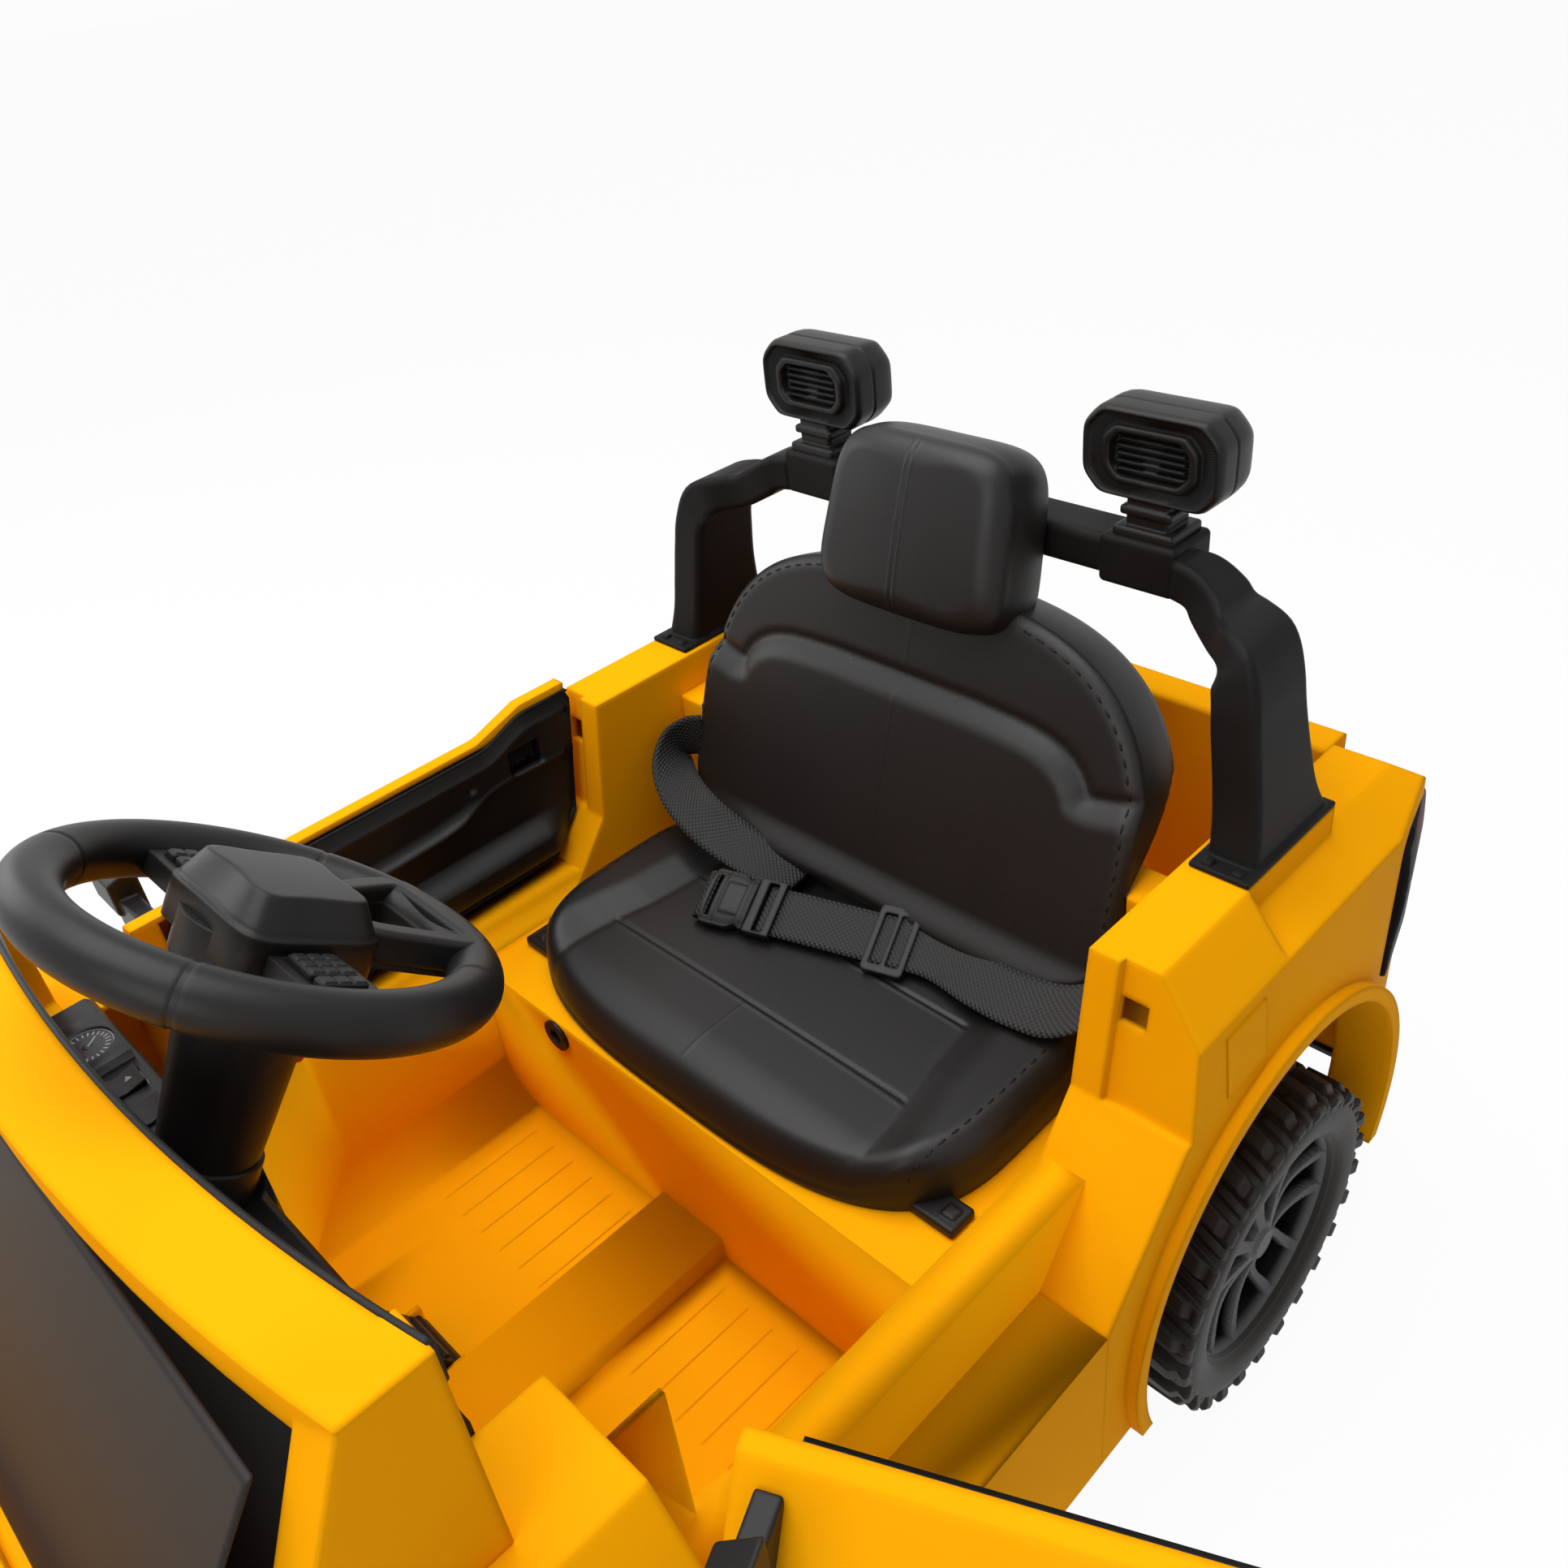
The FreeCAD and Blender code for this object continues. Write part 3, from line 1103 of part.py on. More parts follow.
def buckle_parts():
    # Side-release buckle: a socket with a pressed-in tongue that carries the other strap.
    l, w, h, t = BUCKLE_L / 2, BUCKLE_W / 2, BUCKLE_H, WALL
    y = BELT_W / 2 + BELT_ROOM
    loop = box(t - l, 2.5 * t - l, -y, y, -1, h + 1)
    mouth = box(-t, 2 * t + 1, t + 1 - w, w - t - 1, t / 2, h - t / 2)
    socket = soften(box(-l, 2 * t, -w, w, 0, h), t, V(0, 0, 1)).cut(loop).cut(mouth)
    blade = box(0.5 - t, l - t, t + 1.5 - w, w - t - 1.5, t / 2 + 0.5, h - t / 2 - 0.5)
    frame = box(2 * t + 0.5, l, 1 - w, w - 1, 1, h - 1)
    window = box(l - 3.5 * t, l - 1.5 * t, -y, y, -1, h + 1)
    tongue = fuse(blade, frame).cut(window).cut(belt_slot(l - 3.5 * t, l + 1))
    return on_belt(socket), on_belt(tongue)


def belt_slider():
    x, l, w = SLIDER_AT, SLIDER_L / 2, SLIDER_W / 2
    y = BELT_W / 2 + BELT_ROOM
    frame = box(x - l, x + l, -w, w, BELT_RISE - 2 * BELT_ROOM - 1, BELT_RISE + BELT_T + 2 * BELT_ROOM + 1)
    frame = soften(frame, WALL, V(0, 0, 1))
    for side in (-1, 1):
        middle = x + side * l * 0.4
        frame = frame.cut(box(middle - l * 0.28, middle + l * 0.28, -y, y, -BUCKLE_H, 2 * BUCKLE_H))
    return on_belt(frame.cut(belt_slot(x - l - 1, x + l + 1)))


def door_profile(grow=0.0):
    # Side outline of a door, between the hinge and the rear pillar.
    g = DOOR_GAP - grow
    return [
        (HINGE_Y, STEP_Z + g), (RAMP_Y - 2 * g, STEP_Z + g), (PILLAR_FOOT_Y - 2 * g, SIDE_Z),
        (PILLAR_Y - 2 * g, BELT_Z + 12), (PILLAR_Y - 46, BELT_Z + 12), (PILLAR_Y - 90, BELT_Z - 2),
        (HINGE_Y, BELT_Z - 2),
    ]


def door_section(grow):
    return [
        (SILL_X + DOOR_GAP, STEP_Z), (SILL_X + DOOR_GAP, BELT_Z + 20), (BELT_X + 2 + grow, BELT_Z + 20),
        (BELT_X + grow, BELT_Z), (SHOULDER_X + grow, SHOULDER_Z + grow), (SIDE_X + grow, SIDE_Z), (SIDE_X + grow, STEP_Z),
    ]


def door_block(grow=0.0):
    block = prism(door_section(grow), "y", HINGE_Y, PILLAR_Y)
    return block.common(prism(door_profile(grow), "x", 0, 2 * SIDE_X))


def door_shell():
    t = DOOR_SKIN_T
    room = box(0, 2 * SIDE_X, HINGE_Y + 3 * HINGE_R, PILLAR_Y, 0, BELT_Z - t)
    skin = door_block().cut(door_block(-t).common(room))
    barrel_z = STEP_Z + DOOR_GAP
    barrel = Part.makeCylinder(HINGE_R, SHOULDER_Z - barrel_z - 6, V(HINGE_X, HINGE_Y, barrel_z))
    bore = Part.makeCylinder(HINGE_PIN_R + RUNNING_FIT, BELT_Z, V(HINGE_X, HINGE_Y, 0))
    clear = Part.makeCylinder(HINGE_R + 1, BELT_Z, V(HINGE_X, HINGE_Y, 0))
    edge = box(HINGE_X, 2 * SIDE_X, HINGE_Y - 1, HINGE_Y + HINGE_R, 0, 2 * BELT_Z)
    return fuse(skin.cut(edge.cut(clear)), barrel).cut(bore)


def door_liner():
    # The black inner panel that closes the door's hollow, with a pull pocket and an armrest ridge.
    t = LINER_T
    outline = prism(door_profile(-3), "x", SILL_X + DOOR_GAP - t, SILL_X + DOOR_GAP)
    plate = outline.common(box(0, 2 * SIDE_X, HINGE_Y + 4 * HINGE_R, PILLAR_Y, SILL_Z + DOOR_GAP, BELT_Z + 8))
    ridge_y = (HINGE_Y + 5 * HINGE_R, PILLAR_FOOT_Y - 55)
    x = SILL_X + DOOR_GAP - t
    section = [(x, SILL_Z + 40), (x - 14, SILL_Z + 34), (x - 14, SILL_Z + 16), (x, SILL_Z + 6)]
    ridge = prism(section, "y", *ridge_y)
    pocket = box(x - 2, x + t + 1, PILLAR_Y - 74, PILLAR_Y - 42, BELT_Z - 42, BELT_Z - 20)
    return fuse(plate, ridge).cut(pocket)


def swung(shape, angle):
    turned = shape.copy()
    turned.rotate(V(HINGE_X, HINGE_Y, 0), V(0, 0, 1), angle)
    return turned


def hinge_pins():
    return both(Part.makeCylinder(HINGE_PIN_R, SHOULDER_Z - STEP_Z - 10, V(HINGE_X, HINGE_Y, STEP_Z - WALL)))


def door_mirror():
    # A wing mirror on a foot at the door's front shoulder.
    x = SIDE_X + 20
    head = [V(x - 20, MIRROR_Y, MIRROR_Z - 20), V(x + 26, MIRROR_Y, MIRROR_Z - 18),
            V(x + 26, MIRROR_Y, MIRROR_Z + 24), V(x - 20, MIRROR_Y, MIRROR_Z + 22)]
    nose_y = MIRROR_Y - MIRROR_D * 0.6
    nose = [V(x + (p.x - x) * 0.8, nose_y, MIRROR_Z + (p.z - MIRROR_Z) * 0.6) for p in head]
    shell = ruled([Part.makePolygon(head + head[:1]), Part.makePolygon(nose + nose[:1])])
    foot = box(SHOULDER_X - 20, x, MIRROR_Y - MIRROR_D * 0.5, MIRROR_Y - 4, SHOULDER_Z - 6, MIRROR_Z)
    return fuse(shell, foot).cut(door_block())


def pedal_parts():
    # The accelerator: a ribbed plate hinged at its heel on two ears of the floor bracket.
    z = FLOOR_Z + 8
    plate = box(-PEDAL_W / 2, PEDAL_W / 2, -PEDAL_L, 4, -3, 3)
    ribs = []
    for i in range(4):
        y = 8 + 12 * i - PEDAL_L
        ribs.append(box(4 - PEDAL_W / 2, PEDAL_W / 2 - 4, y, y + 4, 3, 5))
    pedal = fuse(plate, *ribs)
    pedal.rotate(V(0, 0, 0), V(1, 0, 0), -PEDAL_ANGLE)
    pedal.translate(V(PEDAL_X, PEDAL_Y, z))
    bore = rod((PEDAL_X - PEDAL_W, PEDAL_Y, z), (PEDAL_X + PEDAL_W, PEDAL_Y, z), 2 + RUNNING_FIT)
    knuckle_tube = rod((PEDAL_X - PEDAL_W / 2, PEDAL_Y, z), (PEDAL_X + PEDAL_W / 2, PEDAL_Y, z), 5)
    pedal = fuse(pedal, knuckle_tube).cut(bore)
    w = PEDAL_W / 2 + SIDE_PLAY
    ear = box(PEDAL_X + w, PEDAL_X + w + 5, PEDAL_Y - 7, PEDAL_Y + 7, FLOOR_Z, z + 7)
    ear_2 = box(PEDAL_X - w - 5, PEDAL_X - w, PEDAL_Y - 7, PEDAL_Y + 7, FLOOR_Z, z + 7)
    pin = rod((PEDAL_X - w - 5, PEDAL_Y, z), (PEDAL_X + w + 5, PEDAL_Y, z), 2)
    return pedal, fuse(ear, ear_2, pin)


socket_part, tongue_part = buckle_parts()
pedal_part = pedal_parts()[0]
quarter_part = quarter_panel()
fender_part = fender()
shell_part = door_shell()
liner_part = door_liner()
mirror_part = door_mirror()
tyre_part = tyre()
rim_part = rim()
knuckle_part = knuckle()
motor_part = gear_motor()

NODES = {
    "chassis_pan": chassis_pan(),
    "body_tub": body_tub(),
    "bed_tray": bed_tray(),
    "tailgate": tailgate(),
    "quarter_left": quarter_part,
    "quarter_right": mirrored(quarter_part),
    "fender_left": fender_part,
    "fender_right": mirrored(fender_part),
    "hood": hood(),
    "windscreen_frame": windscreen_frame(),
    "windscreen": windscreen(),
    "headlamps": both(headlamp()),
    "tail_lamps": both(tail_lamp()),
    "front_bumper": front_bumper(),
    "rear_bumper": rear_bumper(),
    "dashboard": dashboard(),
    "column_cover": column_cover(),
    "roll_bar": roll_bar(),
    "roof_lamps": both(roof_lamp()),
    "seat_cushion": seat_cushion(),
    "seat_back": seat_back(),
    "headrest": headrest(),
    "lap_belt_left": lap_belt_left(),
    "lap_belt_right": lap_belt_right(),
    "buckle_socket": socket_part,
    "buckle_tongue": tongue_part,
    "belt_slider": belt_slider(),
    "battery": battery(),
    "charge_socket": charge_socket(),
    "gear_motors": both(motor_part),
    "rear_axle": rear_axle(),
    "hinge_pins": hinge_pins(),
    "accelerator_pedal": pedal_part,
    "steering_wheel": steering_wheel(),
    "hub_pad": hub_pad(),
    "steering_shaft": steering_shaft(),
    "start_button": start_button(),
    "tie_rod": tie_rod(),
    "knuckle_left": knuckle_part,
    "knuckle_right": mirrored(knuckle_part),
    "door_shell_left": swung(shell_part, -DOOR_OPEN),
    "door_liner_left": swung(liner_part, -DOOR_OPEN),
    "mirror_left": swung(mirror_part, -DOOR_OPEN),
    "mirror_right": mirrored(mirror_part),
    "door_shell_right": mirrored(shell_part),
    "door_liner_right": mirrored(liner_part),
    "rocker_drive": rocker(ROCKER_X[0]),
    "rocker_speed": rocker(ROCKER_X[1]),
}
for name, (u, w) in button_sites().items():
    NODES[name] = button(u, w)
for name, side, axle_y in (("front_left", 1, FRONT_AXLE_Y), ("front_right", -1, FRONT_AXLE_Y),
                           ("rear_left", 1, REAR_AXLE_Y), ("rear_right", -1, REAR_AXLE_Y)):
    NODES["tyre_" + name] = at_wheel(tyre_part, side, axle_y)
    NODES["rim_" + name] = at_wheel(rim_part, side, axle_y)

os.makedirs("parts", exist_ok=True)
for name, shape in NODES.items():
    shape.exportStep("parts/" + name + ".step")
    print(name, len(shape.Solids), shape.isValid(), round(shape.Volume / 1000.0, 1), shape.BoundBox)
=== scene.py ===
import bpy
import math
import numpy as np
from mathutils import Matrix, Vector


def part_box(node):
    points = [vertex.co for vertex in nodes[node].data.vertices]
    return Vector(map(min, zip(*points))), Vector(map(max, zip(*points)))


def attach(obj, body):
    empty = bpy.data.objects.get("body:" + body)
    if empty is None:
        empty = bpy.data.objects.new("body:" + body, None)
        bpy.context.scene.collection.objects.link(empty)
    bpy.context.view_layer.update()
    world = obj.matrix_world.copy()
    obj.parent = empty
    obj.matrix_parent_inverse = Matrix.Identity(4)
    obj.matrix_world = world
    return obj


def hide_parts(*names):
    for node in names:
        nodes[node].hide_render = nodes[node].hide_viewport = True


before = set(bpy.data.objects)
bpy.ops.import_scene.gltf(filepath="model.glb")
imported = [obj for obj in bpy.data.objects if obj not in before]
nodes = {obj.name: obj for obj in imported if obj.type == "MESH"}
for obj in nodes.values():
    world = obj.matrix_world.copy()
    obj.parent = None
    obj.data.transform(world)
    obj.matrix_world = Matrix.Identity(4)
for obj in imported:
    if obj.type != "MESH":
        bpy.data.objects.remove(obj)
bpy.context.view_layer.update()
print("frame loaded:", len(nodes), "nodes")

view = {
    "place": (0.5526, -0.2812, 0.9570),
    "azimuth": 48.70,      # degrees from the nose towards the car's left side
    "elevation": 34.21,
    "roll": -6.99,
    "focalShare": 1676.2 / 1932,  # focal length as a share of the picture's width
    "sensor": 36.0,
    "far": 100.0,
}


def placeCamera(v):
    # back points from the scene to the lens; right and up are turned about it by the roll
    a, e, r = (math.radians(v[k]) for k in ("azimuth", "elevation", "roll"))
    back = Vector((math.sin(a) * math.cos(e), -math.cos(a) * math.cos(e), math.sin(e)))
    right = Vector((0, 0, 1)).cross(back).normalized()
    up = back.cross(right)
    right, up = right * math.cos(r) + up * math.sin(r), up * math.cos(r) - right * math.sin(r)
    data = bpy.data.cameras.new("studioCamera")
    data.sensor_width = v["sensor"]
    data.lens = v["sensor"] * v["focalShare"]
    data.clip_end = v["far"]
    camera = bpy.data.objects.new("studioCamera", data)
    bpy.context.scene.collection.objects.link(camera)
    turn = Matrix((right, up, back)).transposed()
    camera.matrix_world = Matrix.Translation(v["place"]) @ turn.to_4x4()
    bpy.context.scene.camera = camera


placeCamera(view)


class Wire:
    # one output socket of a node tree; sums on it add Math nodes to that tree
    def __init__(self, tree, socket=None):
        self.tree, self.socket = tree, socket

    def make(self, kind, settings=None, links=None, out=0):
        # any node: its type, its settings, which are set first, then values or links of its sockets
        node = self.tree.nodes.new("ShaderNode" + kind)
        for key, value in (settings or {}).items():
            setattr(node, key, value)
        for key, value in (links or {}).items():
            if isinstance(value, Wire):
                self.tree.links.new(value.socket, node.inputs[key])
            else:
                node.inputs[key].default_value = value
        return Wire(self.tree, node.outputs[out] if len(node.outputs) else None)

    def maths(self, operation, a, b=0.0):
        return self.make("Math", {"operation": operation}, {0: a, 1: b})

    def __add__(self, other):
        return self.maths("ADD", self, other)

    def __sub__(self, other):
        return self.maths("SUBTRACT", self, other)

    def __rsub__(self, other):
        return self.maths("SUBTRACT", other, self)

    def __mul__(self, other):
        return self.maths("MULTIPLY", self, other)

    __radd__ = __add__
    __rmul__ = __mul__

    def sine(self):
        return self.maths("SINE", self)

    def step(self, low, high):
        # 0 below low, 1 above high and an easy curve between them
        return self.make("MapRange", {"interpolation_type": "SMOOTHSTEP"}, {0: self, 1: low, 2: high})

    def blend(self, a, b):
        # colour a where this is 0, colour b where it is 1
        return self.make("Mix", {"data_type": "RGBA"}, {0: self, 6: a, 7: b}, out=2)

    def tones(self, look):
        # the look's dark colour where this is 0, its light one where it is 1
        return self.blend((*look["dark"], 1), (*look["light"], 1))

    def noise(self, scale, detail=2.0, rough=0.5):
        # a noise over the coordinates that this wire carries
        return self.make("TexNoise", None, {
            "Vector": self, "Scale": scale, "Detail": detail, "Roughness": rough,
        })

    def cells(self, scale):
        # soft-edged cells over the coordinates that this wire carries
        return self.make("TexVoronoi", {"feature": "SMOOTH_F1"}, {
            "Vector": self, "Scale": scale, "Smoothness": 0.6,
        })

    def part(self, axis):
        return self.make("SeparateXYZ", None, {0: self}, out=axis)

    def mark(self):
        # the mark that a piece carries on its points
        return self.make("Attribute", {"attribute_name": "mark"}, None, out="Fac")


def startMaterial(name, coords="Object"):
    # an empty material, and the coordinates that its patterns are read on
    material = bpy.data.materials.new(name)
    material.use_nodes = True
    material.node_tree.nodes.clear()
    bench = Wire(material.node_tree)
    return material, bench.make("TexCoord", out=coords)


def closeMaterial(bench, colour, rough, height=None, bump=(0.2, 0.0004), edge=0.0, fixed=None):
    # the shader; height feeds a bump, over normals that are eased within edge metres of a corner
    links = {"Base Color": colour, "Roughness": rough}
    links.update(fixed or {})
    normal = None
    if edge:
        normal = bench.make("Bevel", {"samples": 4}, {"Radius": edge})
    if height is not None:
        bumpLinks = {"Strength": bump[0], "Distance": bump[1], "Height": height}
        if normal:
            bumpLinks["Normal"] = normal
        normal = bench.make("Bump", None, bumpLinks)
    if normal:
        links["Normal"] = normal
    shader = bench.make("BsdfPrincipled", None, links)
    bench.make("OutputMaterial", None, {"Surface": shader})


def mouldedPlastic(name, look):
    # moulded plastic: slow drift of tone and sheen under a fine spark-eroded grain
    material, coords = startMaterial(name)
    drift = coords.noise(look["drift"], 3.0)
    grain = coords.noise(look["grain"], 2.0, 0.6)
    colour = drift.step(0.3, 0.7).tones(look)
    rough = look["rough"] + (drift - 0.5) * look["roughDrift"] + (grain - 0.5) * 0.06
    closeMaterial(coords, colour, rough, grain, look["bump"], look["edge"],
                  {"Specular IOR Level": look["gloss"]})
    return material


def seatSkin(name, look):
    # leather-look skin: small pebbles between fine creases over a slow drift of sheen
    material, coords = startMaterial(name)
    pebble = coords.cells(look["pebble"])
    fine = coords.noise(look["fine"], 3.0, 0.6)
    drift = coords.noise(7.0, 3.0)
    colour = (drift * 0.6 + pebble * 0.4).step(0.25, 0.75).tones(look)
    rough = look["rough"] + (drift - 0.5) * 0.10 + (fine - 0.5) * 0.08
    closeMaterial(coords, colour, rough, pebble * 0.7 + fine * 0.3, look["bump"], 0.0,
                  {"Specular IOR Level": look["gloss"]})
    return material


def wovenBand(name, look):
    # webbing: ribs along and across, each pick over then under its neighbour, on the band's own UV in metres
    material, coords = startMaterial(name, "UV")
    u, v = coords.part(0), coords.part(1)
    turns = 2 * math.pi / look["pitch"]
    picks = (u * turns).sine() * (v * turns).sine()
    warp = ((u * (2 * turns)).sine() + 1.0) * 0.5
    slant = ((u + v) * turns).sine() * 0.25
    height = picks * 0.5 + 0.5 + warp * 0.2 + slant
    fuzz = coords.noise(look["fuzz"], 2.0)
    # painted shade: the colour follows the weave's height, darker in its hollows and lighter on its raised
    # threads
    colour = height.step(0.1, 1.1).tones(look)
    rough = look["rough"] + (fuzz - 0.5) * 0.3
    closeMaterial(coords, colour, rough, height + fuzz * 0.3, look["bump"], 0.0,
                  {"Specular IOR Level": look["gloss"]})
    return material


def paintedMetal(name, look):
    # a satin coat with fine flake, or bare steel; where a look has a pocket colour, it is painted shade, laid
    # on the faces that the piece's mark leaves at nought
    material, coords = startMaterial(name)
    flake = coords.noise(look["flake"], 2.0, 0.7)
    drift = coords.noise(9.0, 2.0)
    colour = flake.step(0.3, 0.7).tones(look)
    if "pocket" in look:
        # painted shade: where the mark is low, the pocket colour darkens the faces
        colour = coords.mark().step(0.55, 0.95).blend((*look["pocket"], 1), colour)
    rough = look["rough"] + (drift - 0.5) * 0.1
    closeMaterial(coords, colour, rough, flake, (0.08, 0.0003), 0.0,
                  {"Metallic": look["metal"], "Specular IOR Level": look["gloss"]})
    return material


def lensPlastic(name, look):
    # a smooth lens with fine moulded flutes behind it, drawn across X, and a coloured field on its mark
    material, coords = startMaterial(name)
    flutes = (coords.part(0) * (2 * math.pi / look["flute"])).sine()
    drift = coords.noise(20.0, 2.0)
    colour = (flutes * 0.3 + drift).step(0.2, 0.9).tones(look)
    if "field" in look:
        colour = coords.mark().step(0.3, 0.7).blend(colour, (*look["field"], 1))
    rough = look["rough"] + drift * 0.06
    closeMaterial(coords, colour, rough, flutes, (0.15, 0.0005), 0.0,
                  {"Coat Weight": look["coat"], "Specular IOR Level": look["gloss"]})
    return material


def dialPrint(name, look):
    # printed face: pale marks where the piece's own mark is set, on a dark ground
    material, coords = startMaterial(name)
    mark, speck = coords.mark(), coords.noise(look["speck"])
    colour = (mark * 0.9 + speck * 0.1).step(0.25, 0.75).tones(look)
    closeMaterial(coords, colour, look["rough"] + speck * 0.1, None, (0, 0), 0.0,
                  {"Coat Weight": look["coat"], "Specular IOR Level": look["gloss"]})
    return material


plasticLooks = {
    "yellowShell": {"dark": (0.86, 0.352, 0.0010), "light": (0.90, 0.378, 0.0014), "drift": 6.0,
                    "grain": 900.0, "rough": 0.66, "roughDrift": 0.08, "bump": (0.05, 0.0004),
                    "edge": 0.006, "gloss": 0.02},
    "blackShell": {"dark": (0.0062, 0.0056, 0.0054), "light": (0.0092, 0.0085, 0.0083), "drift": 9.0,
                   "grain": 1300.0, "rough": 0.40, "roughDrift": 0.10, "bump": (0.14, 0.0003),
                   "edge": 0.0022, "gloss": 0.21},
    "rubberTread": {"dark": (0.0105, 0.0085, 0.0075), "light": (0.017, 0.0145, 0.013), "drift": 30.0,
                    "grain": 700.0, "rough": 0.55, "roughDrift": 0.16, "bump": (0.2, 0.0004),
                    "edge": 0.0, "gloss": 0.25},
    "smokedScreen": {"dark": (0.016, 0.0145, 0.014), "light": (0.022, 0.020, 0.0195), "drift": 4.0,
                     "grain": 500.0, "rough": 0.34, "roughDrift": 0.08, "bump": (0.03, 0.0003),
                     "edge": 0.002, "gloss": 0.12},
    "redButton": {"dark": (0.50, 0.012, 0.008), "light": (0.62, 0.020, 0.012), "drift": 40.0,
                  "grain": 900.0, "rough": 0.34, "roughDrift": 0.08, "bump": (0.05, 0.0003),
                  "edge": 0.001, "gloss": 0.5},
}
plasticLooks["dullBar"] = {**plasticLooks["blackShell"], "rough": 0.52, "gloss": 0.09}
finish = {name: mouldedPlastic(name, look) for name, look in plasticLooks.items()}
finish["seatSkin"] = seatSkin("seatSkin", {
    "dark": (0.0062, 0.0054, 0.0052), "light": (0.0090, 0.0081, 0.0078), "pebble": 620.0, "fine": 1500.0,
    "rough": 0.44, "bump": (0.12, 0.0003), "gloss": 0.28,
})
finish["beltWeave"] = wovenBand("beltWeave", {
    "dark": (0.0025, 0.0025, 0.0025), "light": (0.018, 0.0172, 0.017), "pitch": 0.0040, "fuzz": 1800.0,
    "rough": 0.62, "bump": (0.8, 0.0007), "gloss": 0.35,
})
# the pocket colour is painted shade for the rim's sunk pockets, barrel and back
finish["rimPaintPocketShade"] = paintedMetal("rimPaintPocketShade", {
    "dark": (0.11, 0.11, 0.115), "light": (0.18, 0.18, 0.19), "pocket": (0.0035, 0.0035, 0.0038),
    "flake": 1500.0, "rough": 0.50, "metal": 0.1, "gloss": 0.05,
})
finish["bareSteel"] = paintedMetal("bareSteel", {
    "dark": (0.38, 0.38, 0.39), "light": (0.50, 0.50, 0.51), "flake": 700.0, "rough": 0.32,
    "metal": 1.0, "gloss": 0.5,
})
finish["clearLens"] = lensPlastic("clearLens", {
    "dark": (0.30, 0.31, 0.33), "light": (0.62, 0.63, 0.65), "flute": 0.007, "rough": 0.08,
    "coat": 0.6, "gloss": 0.5,
})
finish["tailGlass"] = lensPlastic("tailGlass", {
    "dark": (0.006, 0.006, 0.0075), "light": (0.012, 0.011, 0.013), "field": (0.10, 0.008, 0.012),
    "flute": 0.006, "rough": 0.42, "coat": 0.0, "gloss": 0.04,
})
finish["dialPrint"] = dialPrint("dialPrint", {
    "dark": (0.012, 0.012, 0.013), "light": (0.28, 0.28, 0.29), "speck": 900.0, "rough": 0.3,
    "coat": 0.05, "gloss": 0.2,
})
print("materials made:", len(finish))

slotFinish = {
    "yellow_plastic": "yellowShell", "black_plastic": "blackShell", "seat_leather": "seatSkin",
    "webbing": "beltWeave", "tyre_rubber": "rubberTread", "rim_grey": "rimPaintPocketShade",
    "dark_screen": "smokedScreen", "lamp_clear": "clearLens", "lamp_red": "tailGlass",
    "start_red": "redButton", "steel": "bareSteel",
}

edgeCare = {
    "weld": 0.00001,       # metres within which a node's loose corners are joined
    "flatAngle": 0.6,      # degrees below which neighbouring faces are one
    "cornerAngle": 25,     # degrees above which an edge is rounded
    "segments": 3,
    "weight": 70,
    "rounds": {            # millimetres of rounding on the edges of each kept shell; the others have none
        "bed_tray": 4.0, "tailgate": 4.0, "quarter_left": 5.0, "quarter_right": 5.0, "fender_left": 5.0,
        "fender_right": 5.0, "hood": 4.0, "windscreen_frame": 6.0, "windscreen": 1.5, "front_bumper": 4.0,
        "rear_bumper": 4.0, "column_cover": 2.0, "chassis_pan": 2.0, "door_shell_left": 5.0,
        "door_shell_right": 5.0, "mirror_left": 4.0, "mirror_right": 4.0, "steering_wheel": 2.0,
        "headlamps": 2.0, "buckle_tongue": 1.0, "belt_slider": 1.0, "accelerator_pedal": 1.5,
        "keypad_left": 0.6, "keypad_right": 0.6, "side_keys_left": 0.5, "side_keys_right": 0.5,
        "rocker_drive": 0.5, "rocker_speed": 0.5, "start_button": 0.6, "battery": 3.0, "gear_motors": 3.0,
        "charge_socket": 0.8,
    },
}


def weldTree():
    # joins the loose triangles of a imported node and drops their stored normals
    tree = bpy.data.node_groups.new("weldShell", "GeometryNodeTree")
    for way in ("INPUT", "OUTPUT"):
        tree.interface.new_socket("Geometry", in_out=way, socket_type="NodeSocketGeometry")
    start, end = tree.nodes.new("NodeGroupInput"), tree.nodes.new("NodeGroupOutput")
    merge = tree.nodes.new("GeometryNodeMergeByDistance")
    merge.inputs["Distance"].default_value = edgeCare["weld"]
    drop = tree.nodes.new("GeometryNodeRemoveAttribute")
    drop.inputs["Name"].default_value = "custom_normal"
    smooth = tree.nodes.new("GeometryNodeSetShadeSmooth")
    chain = [start, merge, drop, smooth, end]
    for a, b in zip(chain, chain[1:]):
        tree.links.new(a.outputs[0], b.inputs[0])
    return tree


def evenFaces(piece):
    # keeps flat faces flat beside their round edges
    even = piece.modifiers.new("even", "WEIGHTED_NORMAL")
    even.weight = edgeCare["weight"]
    even.keep_sharp = False


def roundShell(obj, width, tree):
    # one face for each flat, then corners rounded by a width in millimetres
    weld = obj.modifiers.new("weld", "NODES")
    weld.node_group = tree
    flat = obj.modifiers.new("flat", "DECIMATE")
    flat.decimate_type = "DISSOLVE"
    flat.angle_limit = math.radians(edgeCare["flatAngle"])
    if width:
        bevel = obj.modifiers.new("round", "BEVEL")
        bevel.width = width / 1000
        bevel.segments = edgeCare["segments"]
        bevel.limit_method = "ANGLE"
        bevel.angle_limit = math.radians(edgeCare["cornerAngle"])
        bevel.use_clamp_overlap = True
        bevel.miter_outer = "MITER_ARC"
    evenFaces(obj)


